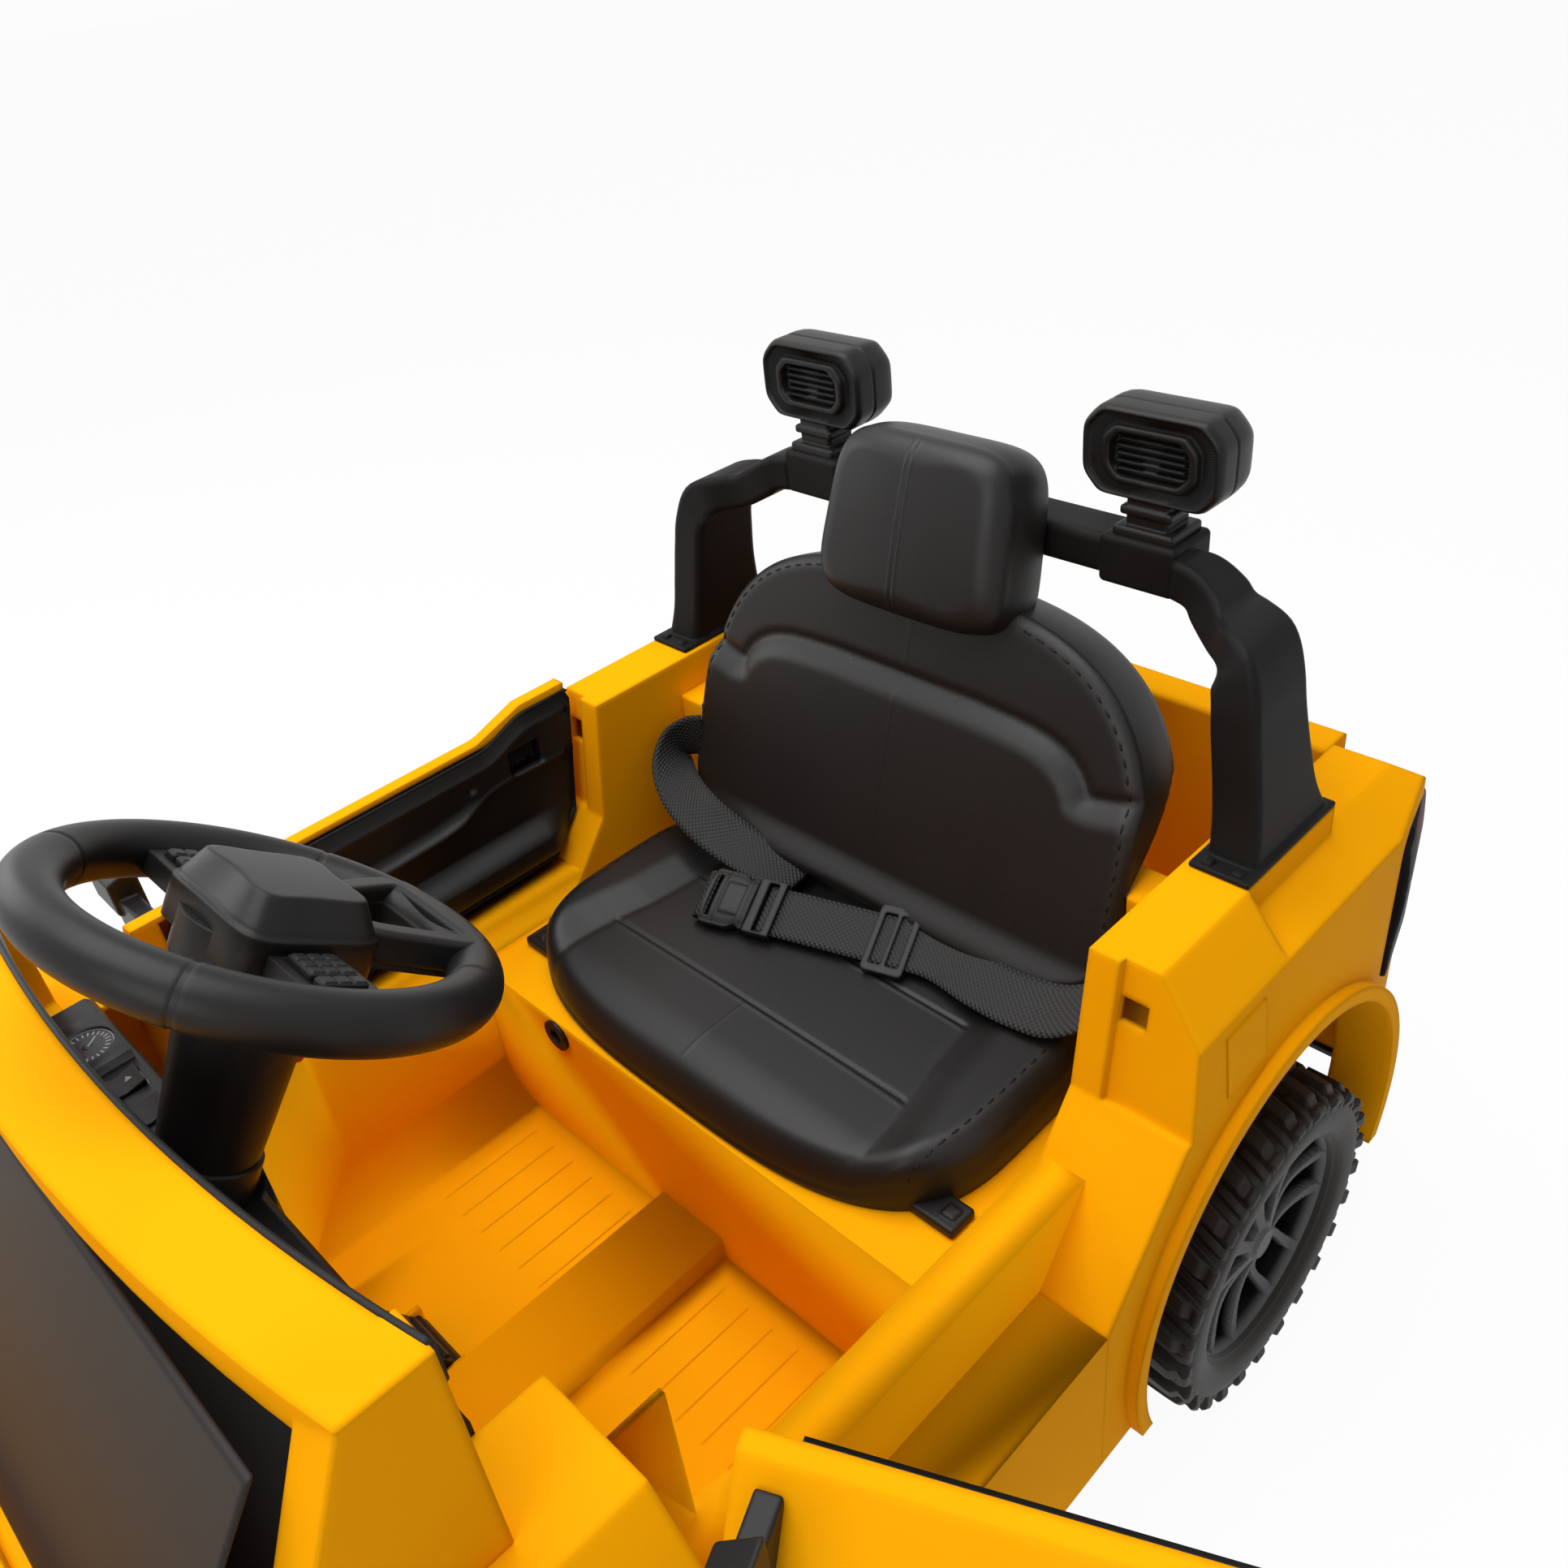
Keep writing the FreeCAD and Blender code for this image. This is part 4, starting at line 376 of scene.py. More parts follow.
def dressNodes():
    # each CAD node takes the finish of its slot and the rounding of its name
    tree = weldTree()
    for name, obj in nodes.items():
        slots = [s.material.name.split(".")[0] for s in obj.material_slots if s.material]
        look = finish[slotFinish.get(slots[0] if slots else "", "blackShell")]
        if not obj.material_slots:
            obj.data.materials.append(look)
        for slot in obj.material_slots:
            slot.material = look
        roundShell(obj, edgeCare["rounds"].get(name, 0.0), tree)


dressNodes()
print("nodes dressed")


def ease(x, low, high):
    # smoothstep of x: 0 at low and 1 at high, whichever of the two is the larger
    t = np.clip((x - low) / (high - low), 0, 1)
    return t * t * (3 - 2 * t)


def ridge(x, height, width):
    # a bell: height * exp(-(x / width)^2)
    return height * np.exp(-(x / width) ** 2)


def circle(count):
    # even angles once round
    return np.linspace(0, 2 * np.pi, count, endpoint=False)


def joined(*parts):
    # coordinates of one point each, from arrays that are spread to one shape
    return np.stack(np.broadcast_arrays(*parts), -1)


def spun(x, rad, turn):
    # a profile of x and radius turned about the x axis
    return joined(x, rad * np.cos(turn), rad * np.sin(turn))


def runOf(points):
    # length along a line of points, from its first
    return np.concatenate([[0], np.cumsum(np.linalg.norm(np.diff(points, axis=0), axis=1))])


def readLine(at, run, points):
    # the points of a line at given lengths along it
    return np.stack([np.interp(at, run, column) for column in points.T], -1)


def inAxes(points, origin, axes):
    # local coordinates carried to the car's: origin + a * first axis + b * second + c * third
    a, b, c = (np.array(axis) for axis in axes)
    return np.array(origin) + points[..., :1] * a + points[..., 1:2] * b + points[..., 2:] * c


def tiltAxes(degrees):
    # across the car, up along a line leaned back by the angle, and down and back square to that line
    a = math.radians(degrees)
    return np.array([[1.0, 0, 0], [0, math.sin(a), math.cos(a)], [0, math.cos(a), -math.sin(a)]])


def faceSign(verts, faces):
    # six times the volume that the faces enclose; below nought they point inwards
    a, b, c = (verts[faces[:, i]] for i in range(3))
    return np.einsum("ij,ij->i", a, np.cross(b, c)).sum()


def gridShell(points, around, ends, facing):
    # faces of one grid of rings: quads between rings, closed round each ring; its ends meet at a point each,
    # or the last ring joins the first, or they stay open
    rings, count = points.shape[:2]
    grid = np.arange(rings * count).reshape(rings, count)
    if ends == "ring":
        grid = np.concatenate([grid, grid[:1]])
    right = np.roll(grid, -1, 1) if around else grid[:, 1:]
    left = grid if around else grid[:, :-1]
    quads = np.stack([left[:-1], right[:-1], right[1:], left[1:]], -1).reshape(-1, 4)
    verts = points.reshape(-1, 3)
    fans = np.zeros((0, 3), int)
    if ends == "poles":
        first, last = len(verts), len(verts) + 1
        verts = np.concatenate([verts, [points[0].mean(0), points[-1].mean(0)]])
        fans = np.concatenate([
            np.stack([np.full(count, first), np.roll(grid[0], -1), grid[0]], -1),
            np.stack([np.full(count, last), grid[-1], np.roll(grid[-1], -1)], -1),
        ])
    if facing is None:
        tris = np.concatenate([quads[:, :3], quads[:, [0, 2, 3]], fans])
        turned = faceSign(verts - verts.mean(0), tris) < 0
    else:
        a, b, c = (verts[quads[:, i]] for i in range(3))
        turned = np.cross(b - a, c - a).sum(0) @ np.array(facing) < 0
    way = -1 if turned else 1
    return verts, quads[:, ::way], fans[:, ::way]


def layPiece(name, verts, faces, look, body):
    # a smooth mesh from points in millimetres, which rides on a body
    mesh = bpy.data.meshes.new(name)
    mesh.from_pydata((verts / 1000).tolist(), [], faces)
    mesh.polygons.foreach_set("use_smooth", np.ones(len(mesh.polygons), bool))
    mesh.materials.append(finish[look])
    mesh.update()
    obj = bpy.data.objects.new(name, mesh)
    bpy.context.scene.collection.objects.link(obj)
    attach(obj, body)
    return obj


def gridPiece(name, shells, look, body, around=True, ends="poles", marks=None, uv=None, facing=None):
    # one piece of one or several grids of rings, with a mark or a UV place for each of its points
    shells = shells if isinstance(shells, list) else [shells]
    verts, faces, first = [], [], 0
    for points in shells:
        v, quads, fans = gridShell(points, around, ends, facing)
        verts.append(v)
        faces += (quads + first).tolist() + (fans + first).tolist()
        first += len(v)
    obj = layPiece(name, np.concatenate(verts), faces, look, body)
    mesh = obj.data
    if marks is not None:
        marks = marks if isinstance(marks, list) else [marks]
        values = np.concatenate([np.append(m, np.zeros(len(v) - m.size)) for m, v in zip(marks, verts)])
        field = mesh.attributes.new("mark", "FLOAT", "POINT")
        field.data.foreach_set("value", values.astype(np.float32))
    if uv is not None:
        index = np.zeros(len(mesh.loops), np.int32)
        mesh.loops.foreach_get("vertex_index", index)
        spots = uv.reshape(-1, 2)[index].astype(np.float32)
        mesh.uv_layers.new(name="band").data.foreach_set("uv", spots.ravel())
    return obj


def ovalReach(c, s, below, wide, low, high, powerLow, powerHigh):
    # superellipse by its direction: 1 / ((|cos|/a)^n + (|sin|/b)^n)^(1/n), with its own b and n above and
    # below its middle
    n = np.where(below, powerLow, powerHigh)
    b = np.where(below, low, high)
    return 1 / ((np.abs(c) / wide) ** n + (np.abs(s) / b) ** n) ** (1 / n)


def ovalLoop(count, *oval):
    # points of the superellipse at even angles
    t = circle(count)
    c, s = np.cos(t), np.sin(t)
    r = ovalReach(c, s, s < 0, *oval)
    return np.stack([r * c, r * s], 1)


def edgeReach(p, q, oval):
    # how far the superellipse reaches from its middle in the direction of (p, q)
    r = np.hypot(p, q) + 1e-6
    return ovalReach(np.abs(p) / r, np.abs(q) / r, q < 0, *oval)


def padSurface(loop, pad, topAt, counts=(70, 12, 8, 10)):
    # rings of (p, q, h), so many on the top, shoulder, wall and base: the top follows topAt(p, q) and drops
    # drop * (1 - cos) over the shoulder's quarter round, the wall runs down to base with a bow of so many
    # two-hundredths of its reach, and the base closes to the middle
    reach = np.hypot(loop[:, 0], loop[:, 1])[None, :]
    inner = np.linspace(0.01, 1, counts[0], endpoint=False)[:, None] * (1 - pad["shoulder"] / reach)
    phi = np.linspace(0, np.pi / 2, counts[1])[:, None]
    outer = 1 - pad["shoulder"] * (1 - np.sin(phi)) / reach
    top = inner[..., None] * loop[None]
    edge = outer[..., None] * loop[None]
    hTop = topAt(top[..., 0], top[..., 1])
    hEdge = topAt(edge[..., 0], edge[..., 1]) - pad["drop"] * (1 - np.cos(phi))
    t = np.linspace(0, 1, counts[2] + 1)[1:, None]
    wall = loop[None] * (1 + pad["bow"] * np.sin(np.pi * t) / 200)[..., None]
    hWall = hEdge[-1][None] * (1 - t) + pad["base"] * t
    share = np.linspace(1, 0.01, counts[3] + 1)[1:, None]
    foot = share[..., None] * loop[None]
    hFoot = np.full(foot.shape[:2], pad["base"])
    plan = np.concatenate([top, edge, wall, foot])
    height = np.concatenate([hTop, hEdge, hWall, hFoot])
    return np.concatenate([plan, height[..., None]], -1)


def roundedRect(hu, hv, r, n=6):
    # rectangles with round corners, n points to each quarter, one row for each given half width and height
    hu, hv, r = (np.atleast_1d(np.asarray(k, float))[:, None] for k in (hu, hv, r))
    a = np.radians(np.arange(4)[:, None] * 90 + np.linspace(0, 90, n)[None]).ravel()
    su, sv = np.repeat([1, -1, -1, 1], n), np.repeat([1, 1, -1, -1], n)
    return joined(su * (hu - r) + r * np.cos(a), sv * (hv - r) + r * np.sin(a))


def softBox(low, high, r, n=6):
    # a box with every edge rounded: rounded rectangles drawn in along a quarter circle at both ends
    low, high = np.array(low, float), np.array(high, float)
    mid, half = (low + high) / 2, (high - low) / 2
    a = np.linspace(0, np.pi / 2, n)
    size = r * np.concatenate([np.sin(a), np.sin(a[::-1])])
    up = (half[2] - r) + r * np.cos(a)
    up = np.concatenate([-up, up[::-1]])
    loops = roundedRect(half[0] - r + size, half[1] - r + size, np.maximum(size, 0.02), n)
    return mid + joined(loops[..., 0], loops[..., 1], up[:, None])


def flipped(points):
    # mirrored across the car's middle plane
    return points * np.array([-1, 1, 1])


def bothSides(shells):
    # the left side's shells, then their mirror images
    return shells + [flipped(points) for points in shells]


cushion = {
    "oval": (204.0, 121.0, 101.0, 3.2, 5.0),  # half width, reach to front and rear, power of each half
    "middle": 190.0, "shoulder": 17.0, "drop": 20.0, "bow": 1.5, "base": 270.5,
    "panel": (305.0, 1.5, 150.0),    # height, crown and the crown's half width
    "bolster": (9.5, -1, 30),        # height, and where it rises beside the crease
    "crease": ((60, 147), (85, 148), (105, 150), (128, 148), (149, 144), (178, 137), (222, 132), (300, 132)),
    "creaseCut": (0.9, 3.0),         # depth and width, as for the lines and the seam
    "crossLines": (147.0, 222.0), "lineCut": (1.5, 1.3), "lineLip": (0.5, 1.6), "lipAhead": 3,
    "seam": (78.0, 145.0), "seamRise": (0.35, 1.0),
    "frontRoll": (12.0, 112, 44),    # fall, where it starts and how long it is
    "rearCove": (16.0, 258, 292),    # rise, and from where to where
}


def cushionTop(p, q):
    # dished panel with a rolled front, raised side bolsters, two pressed cross lines, a seam between them and
    # a cove up to the back
    c = cushion
    x, y = np.abs(p), q + c["middle"]
    side = x - np.interp(y, *zip(*c["crease"]))
    inside = ease(side, 0, -3)
    level, crown, half = c["panel"]
    bolster, *sides = c["bolster"]
    z = level + crown * (1 - np.clip(x / half, 0, 1) ** 2)
    z = z + bolster * ease(side, *sides) - ridge(side, *c["creaseCut"])
    for at in c["crossLines"]:
        z = z - inside * (ridge(y - at, *c["lineCut"]) - ridge(y - at + c["lipAhead"], *c["lineLip"]))
    front, rear = c["seam"]
    z = z + inside * ridge(p, *c["seamRise"]) * ease(y, front, front + 4) * ease(y, rear, rear - 5)
    fall, start, length = c["frontRoll"]
    rise, *cove = c["rearCove"]
    return z - fall * np.clip((start - y) / length, 0, 1) ** 2 + rise * ease(y, *cove) ** 1.5


def makeCushion():
    # an oval pad, moved to its place on the platform
    c = cushion
    rings = padSurface(ovalLoop(512, *c["oval"]), c, cushionTop)
    rings[..., 1] += c["middle"]
    pad = gridPiece("seatPad", rings, "seatSkin", "chassis")
    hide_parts("seat_cushion")


backrest = {
    "oval": (198.0, 70.0, 172.0, 5.0, 3.0),  # half width, reach down and up, power of each half
    "origin": (0.0, 281.0, 324.0), "lean": 17.5, "middle": 60.0,
    "shoulder": 13.0, "drop": 9.0, "bow": 1.0, "base": -44.0,
    "arch": ((0, 161), (60, 161), (90, 159.5), (108, 158), (121, 155.5), (131, 152), (140, 147), (147, 141),
             (152, 134.5), (155.5, 127.5), (162, 127), (172, 129), (185, 132), (205, 135)),
    "crown": (5.0, 205),             # height and half width
    "raise": (8.0, 3, -16),          # height, and where it ends and starts across the arch line
    "groove": (2.2, 4.0), "grooveAt": 3,
    "seamRise": (0.25, 1.0), "seamFrom": (20, 40),
    "foot": (10.0, 22, -4),          # fullness, and where it ends and starts above the cushion
    "wall": (301.4, 398.5, 1.2),     # the bed wall behind it: y, upper edge, and slope above that
}


def leaned(points):
    # local across, up the lean and out of the face, turned to the car's axes
    across, up, back = tiltAxes(backrest["lean"])
    return inAxes(points, backrest["origin"], (across, up, -back))


def archSide(x, q):
    # distance to the pressed arch line, positive above it
    line = np.array(backrest["arch"], float)
    px, pq = readLine(np.linspace(0, len(line) - 1, 320), np.arange(len(line)), line).T
    gap = np.full(x.shape, 1e9)
    for a, b in zip(px, pq):
        gap = np.minimum(gap, (x - a) ** 2 + (q - b) ** 2)
    return np.sqrt(gap) * np.where(q > np.interp(x, px, pq), 1, -1)


def backTop(p, q):
    # crowned face whose lower panel and bolsters stand proud of the upper band along the arch line
    b = backrest
    x, up = np.abs(p), q + b["middle"]
    side = archSide(x, up)
    crown, half = b["crown"]
    proud, *sides = b["raise"]
    full, *foot = b["foot"]
    h = crown * (1 - (x / half) ** 2) + proud * ease(side, *sides)
    h = h - ridge(side - b["grooveAt"], *b["groove"])
    h = h + ridge(p, *b["seamRise"]) * ease(up, *b["seamFrom"])
    return h + full * ease(up, *foot)


def makeBack():
    # its rear is held in front of the bed wall, and above that wall by a slope
    b = backrest
    rings = padSurface(ovalLoop(512, *b["oval"]), b, backTop)
    rings[..., 1] += b["middle"]
    points = leaned(rings)
    wallY, wallZ, slope = b["wall"]
    reach = wallY + slope * np.clip(points[..., 2] - wallZ, 0, None)
    points[..., 1] = np.minimum(points[..., 1], reach)
    pad = gridPiece("seatBackPad", points, "seatSkin", "chassis")
    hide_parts("seat_back")


headPad = {
    "oval": (82.0, 62.0, 58.0, 5.0, 5.0), "middle": 269.0, "taper": 0.14,
    "shoulder": 20.0, "drop": 16.0, "bow": 6.0, "base": -22.0, "front": 26.0,
    "crownWide": (6.0, 80), "crownTall": (3.0, 60),
    "seamCut": (0.5, 0.9), "seamLip": (0.3, 1.2), "lipAt": 2.5,
}


def headTop(p, q):
    # gently crowned face with a fine moulded seam down its middle
    h = headPad
    (wide, halfWide), (tall, halfTall) = h["crownWide"], h["crownTall"]
    crown = wide * (1 - (p / halfWide) ** 2) + tall * (1 - (q / halfTall) ** 2)
    return h["front"] + crown - ridge(p, *h["seamCut"]) + ridge(np.abs(p) - h["lipAt"], *h["seamLip"])


def makeHeadrest():
    # an oval pad, narrowed towards its top and set on the lean of the back
    h = headPad
    _, low, high, *_ = h["oval"]
    rings = padSurface(ovalLoop(320, *h["oval"]), h, headTop, (50, 16, 14, 10))
    rings[..., 0] *= 1 - h["taper"] * (rings[..., 1] + low) / (low + high)
    rings[..., 1] += h["middle"]
    pad = gridPiece("headrestPad", leaned(rings), "seatSkin", "chassis")
    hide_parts("headrest")


makeCushion()
makeBack()
makeHeadrest()
print("seat made")

stitch = {
    "length": 6.6, "gap": 4.2, "wide": 1.7, "high": 1.1, "rings": 6, "sides": 8, "proud": 0.1,
    "padLine": ((178.5, 98), (184, 118), (188, 147), (189.5, 181), (189.5, 220), (189, 256)),
    "backFrom": -14, "backTo": 64, "backInset": 7.5,  # degrees round the back's edge, and in from it
}


def padSkin(top, pad):
    # the height of a pad: its top, less the fall over its round shoulder
    def skin(p, q):
        inside = np.clip((edgeReach(p, q, pad["oval"]) - np.hypot(p, q)) / pad["shoulder"], 0, 1)
        return top(p, q) - pad["drop"] * (1 - np.sqrt(np.clip(1 - (1 - inside) ** 2, 0, 1)))

    return skin


def slopeOf(skin, p, q):
    # outward direction of a height skin from its slopes over a millimetre
    acrossFall = skin(p - 0.5, q) - skin(p + 0.5, q)
    alongFall = skin(p, q - 0.5) - skin(p, q + 0.5)
    rise = np.stack([acrossFall, alongFall, np.ones_like(p)], -1)
    return rise / np.linalg.norm(rise, axis=-1)[..., None]


def dashRow(name, path, outward):
    # sewn dashes: small flattened ovals set end to end along a path, each turned to the path and the skin
    s = stitch
    step = s["length"] + s["gap"]
    run = runOf(path)
    at = np.arange(step, run[-1] - step, step)
    centre = readLine(at, run, path)
    ahead = readLine(at + 1, run, path) - centre
    ahead /= np.linalg.norm(ahead, axis=1)[:, None]
    out = readLine(at, run, outward)
    out /= np.linalg.norm(out, axis=1)[:, None]
    side = np.cross(ahead, out)
    phi = np.linspace(0.25, np.pi - 0.25, s["rings"])[:, None]
    oval = spun(np.cos(phi), np.sin(phi), circle(s["sides"])[None]).reshape(-1, 3)
    oval = oval[None] * [s["length"] / 2, s["wide"] / 2, s["high"] / 2]
    verts = centre[:, None] + oval[..., :1] * ahead[:, None]
    verts = verts + oval[..., 1:2] * side[:, None] + oval[..., 2:] * out[:, None]
    count = s["rings"] * s["sides"]
    grid = np.arange(count).reshape(s["rings"], s["sides"])
    right = np.roll(grid, -1, 1)
    walls = np.stack([grid[:-1], right[:-1], right[1:], grid[1:]], -1).reshape(-1, 4)
    caps = np.stack([grid[0][::-1], grid[-1]])
    first = (np.arange(len(at)) * count)[:, None, None]
    faces = [(part[None] + first).reshape(-1, part.shape[1]).tolist() for part in (walls, caps)]
    layPiece(name, verts.reshape(-1, 3), faces[0] + faces[1], "blackShell", "chassis")


def sewSeat():
    # a row along each side of the cushion and round each shoulder of the back
    s, c, b = stitch, cushion, backrest
    plan = np.array(s["padLine"], float)
    x, y = readLine(np.linspace(0, len(plan) - 1, 90), np.arange(len(plan)), plan).T
    skin, face = padSkin(cushionTop, c), padSkin(backTop, b)
    for side, name in ((1, "padStitchLeft"), (-1, "padStitchRight")):
        p, q = side * x, y - c["middle"]
        dashRow(name, np.stack([p, y, skin(p, q) + s["proud"]], -1), slopeOf(skin, p, q))
    turn = np.radians(np.linspace(s["backFrom"], s["backTo"], 110))
    reach = edgeReach(np.cos(turn), np.sin(turn), b["oval"]) - s["backInset"]
    x, q = np.cos(turn) * reach, np.sin(turn) * reach
    for side, name in ((1, "backStitchLeft"), (-1, "backStitchRight")):
        p = side * x
        local = np.stack([p, q + b["middle"], face(p, q) + s["proud"]], -1)
        dashRow(name, leaned(local), leaned(slopeOf(face, p, q)) - np.array(b["origin"]))


sewSeat()
print("seat sewn")

belt = {
    "origin": (-65.0, 209.2, 315.4), "half": 19.0, "thick": 1.9,
    "long": (0.954, 0.301, 0.0), "wide": (-0.273, 0.864, 0.423), "out": (0.127, -0.403, 0.906),
}


def onBelt(points):
    # local along, across and out of the strap at the buckle, turned to the car's axes
    return inAxes(points, belt["origin"], (belt["long"], belt["wide"], belt["out"]))


def smoothPath(stops, count):
    # a cubic through the stops, its slope at each stop taken from the neighbours, at even steps along it
    p = np.array(stops, float)
    t = runOf(p[:, :3])
    slope = np.gradient(p, t, axis=0)
    at = np.linspace(0, t[-1], count)
    i = np.clip(np.searchsorted(t, at, side="right") - 1, 0, len(t) - 2)
    h = (t[i + 1] - t[i])[:, None]
    s = (at - t[i])[:, None] / h
    line = (1 + 2 * s) * (1 - s) ** 2 * p[i] + s * (1 - s) ** 2 * h * slope[i]
    return line + s ** 2 * (3 - 2 * s) * p[i + 1] + s ** 2 * (s - 1) * h * slope[i + 1], at


def webbing(name, node, stops):
    # a flat band: a cross line of points carried along the path, with its UV in metres along and across
    line, run = smoothPath(stops, 150)
    wide = line[:, 3:] / np.linalg.norm(line[:, 3:], axis=1)[:, None]
    across = np.linspace(-belt["half"], belt["half"], 9)
    points = line[:, None, :3] + across[None, :, None] * wide[:, None]
    uv = joined(across[None, :], run[:, None]) / 1000
    band = gridPiece(name, points, "beltWeave", "chassis", False, "open", None, uv, (0, 0, 1))
    solid = band.modifiers.new("thick", "SOLIDIFY")
    solid.thickness = belt["thick"] / 1000
    solid.offset = 0.0
    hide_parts(node)


def makeBelts():
    # each stop is a place and the direction across the band there
    def spot(*place, wide=belt["wide"]):
        return (*onBelt(np.array(place, float)), *wide)

    webbing("nearStrap", "lap_belt_left", [
        spot(17, 0, 6), spot(50, 0, 6), spot(120, 0, 6), spot(146, 0, 6),
        (124, 247, 323, -0.15, 1, 0.42), (158, 245, 327, -0.15, 1, 0.48), (188, 250, 332, -0.12, 1, 0.6),
        (204, 262, 340, -0.2, 1, 0.45), (210, 274, 345, -0.2, 1, 0.3),
    ])
    webbing("farStrap", "lap_belt_right", [
        (-197, 297, 372, 0, 0, -1), (-208, 291.5, 370.5, 0, 0.15, -1), (-213, 282, 368, 0, 0.45, -0.9),
        (-206, 270, 363, 0.15, 0.8, -0.5), (-182, 253, 354, 0.15, 0.95, 0.25),
        (-150, 244, 345, 0.1, 0.85, 0.45), (-112, 246, 331.5, -0.1, 0.9, 0.35),
        (-74, 248.5, 324.5, -0.1, 1, 0.1), (-58, 249, 322.5, -0.1, 1, 0), (-51.5, 248.5, 319, -0.1, 1, 0),
        (-57, 246.5, 315.8, -0.15, 1, 0.05), spot(0, 17, -7, wide=(-0.25, 0.9, 0.3)),
        spot(-24, 6, -3), spot(-33, 1, -1), spot(-35.8, 0, 4), spot(-32, 0, 8.5), spot(-25, 0, 9.2),
    ])


buckle = {
    "middle": -11.0, "half": (19.0, 22.5), "deep": 6.0, "square": 0.4, "round": 5.0, "crown": 0.004,
    "waist": (0.16, 4.5), "waistAt": 0.5,
    "slot": (-24.0, 2.6, 17, 7.0),   # place along, half length, half width and depth
    "plate": (-7, 8.5, 13, 0.9),     # the same, with its height
    "ribs": (5, 2.6, 17, 0.7),       # first rib, pitch, half width and height
    "crease": (0.8, 0.7), "creaseAt": -18.5,
}


def makeBuckle():
    # a ring at each station along the belt: a flat rounded section, narrowed where the release arms show,
    # with a strap slot, a raised plate and grip ribs pressed into its upper side
    k = buckle
    t, turn = np.linspace(-1, 1, 150)[:, None], circle(120)[None]
    end = np.clip((np.abs(t) - 0.78) / 0.22, 0, 1)
    x = k["middle"] + k["half"][0] * t
    half = k["half"][1] * (1 - ridge(x - k["waistAt"], *k["waist"]))
    half = half - k["round"] * (1 - np.sqrt(1 - 0.98 * end ** 2))
    c, s = np.cos(turn), np.sin(turn)
    y = half * np.sign(c) * np.abs(c) ** k["square"]
    rise = np.sign(s) * np.abs(s) ** k["square"]
    upper = ease(rise, 0.5, 0.9)
    at, long, wide, deep = k["slot"]
    relief = -deep * ease(long - np.abs(x - at), 0, 0.8) * ease(wide - np.abs(y), 0, 1)
    at, long, wide, high = k["plate"]
    relief = relief + high * ease(long - np.abs(x - at), 0, 1.2) * ease(wide - np.abs(y), 0, 1.5)
    at, pitch, wide, high = k["ribs"]
    waves = ease(np.cos(2 * np.pi * (x - at) / pitch), 0, 0.6) * ease(x, at - 2.5, at - 1.5)
    relief = relief + high * waves * ease(wide - np.abs(y), 0, 1) - ridge(x - k["creaseAt"], *k["crease"])
    z = k["deep"] * (1 + rise) - k["crown"] * y ** 2 * upper + upper * relief
    shell = gridPiece("buckleShell", onBelt(joined(x, y, z)), "blackShell", "chassis")
    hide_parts("buckle_socket")


makeBelts()
makeBuckle()
print("belts laid")

wheel = {"track": 280.0, "axleY": 325.0, "axleZ": 125.0}
tyre = {
    "half": 40.0, "lugs": 26, "lug": 8.0, "slant": 0.42, "stations": 84, "steps": 32,
    "block": (0.02, 0.07, 0.56, 0.10),   # shares of a pitch: a lug's rise, its end, and less at the edge
    "ledge": (0.5, 0.54, 0.80, 0.42),    # the same for the step behind it, and its share of the height
    "notch": (0.5, 0.05), "notchAt": 0.80,
    "profile": (  # distance from the middle plane and radius, from the bead to the crown
        (33, 87), (36, 89.5), (38.2, 92.5), (39.4, 97), (40, 103), (39.7, 108), (39.0, 110.4), (38.2, 110.9),
        (38.0, 111.8), (37.0, 113.6), (35.2, 115.2), (32, 116.2), (27, 116.6), (20, 116.8), (12, 116.8),
        (6, 116.8), (3.4, 116.8), (1.6, 116.8), (0, 116.8),
    ),
    "inside": ((-33.0, 85.5), (0.0, 85.0), (33.0, 85.5)),
}


def wheelPlace(points, side, end):
    # local x outwards, y and z in the wheel's plane, moved to its corner of the car
    placed = points * np.array([side, 1, 1])
    return placed + np.array([side * wheel["track"], end * wheel["axleY"], wheel["axleZ"]])


def tyreRings():
    # a profile turned round the axle; lugs rise along its normal where a slanted pulse train is on, each with
    # a lower step behind it, and the smooth side wall lies inside a fine ring
    w = tyre
    profile = np.array(w["profile"])
    profile = np.concatenate([profile, (profile * [-1, 1])[-2::-1]])
    run = runOf(profile)
    x, rad = readLine(np.linspace(0, run[-1], w["stations"]), run, profile).T
    dx, dr = np.gradient(x), np.gradient(rad)
    size = np.hypot(dx, dr)
    nx, nr = dr / size, -dx / size
    turn = circle(w["lugs"] * w["steps"])
    across = np.abs(x)[:, None] / w["half"]
    phase = w["lugs"] * turn[None] / (2 * np.pi) + 0.25 * np.sign(x)[:, None]
    phase = (phase - w["slant"] * across ** 1.3) % 1.0
    start, full, end, less = w["block"]
    block = ease(phase, start, full) * ease(end - less * across - phase, 0, 0.05)
    start, full, end, share = w["ledge"]
    ledge = ease(phase, start, full) * ease(end - phase, 0, 0.04) * ease(across, 0.3, 0.42)
    notch = 1 - ridge(across - w["notchAt"], *w["notch"]) * block
    weight = ease(rad, 111.2, 114.0) * ease(np.abs(x), 1.4, 4.0)
    lift = w["lug"] * np.maximum(block * notch, share * ledge) * weight[:, None]
    px = x[:, None] + np.clip(nx, -0.5, 0.5)[:, None] * lift
    pr = rad[:, None] + np.maximum(nr, 0.3)[:, None] * lift
    inner = np.array(w["inside"])
    px = np.concatenate([px, np.repeat(inner[:, :1], px.shape[1], 1)])
    pr = np.concatenate([pr, np.repeat(inner[:, 1:], px.shape[1], 1)])
    return spun(px, pr, turn)


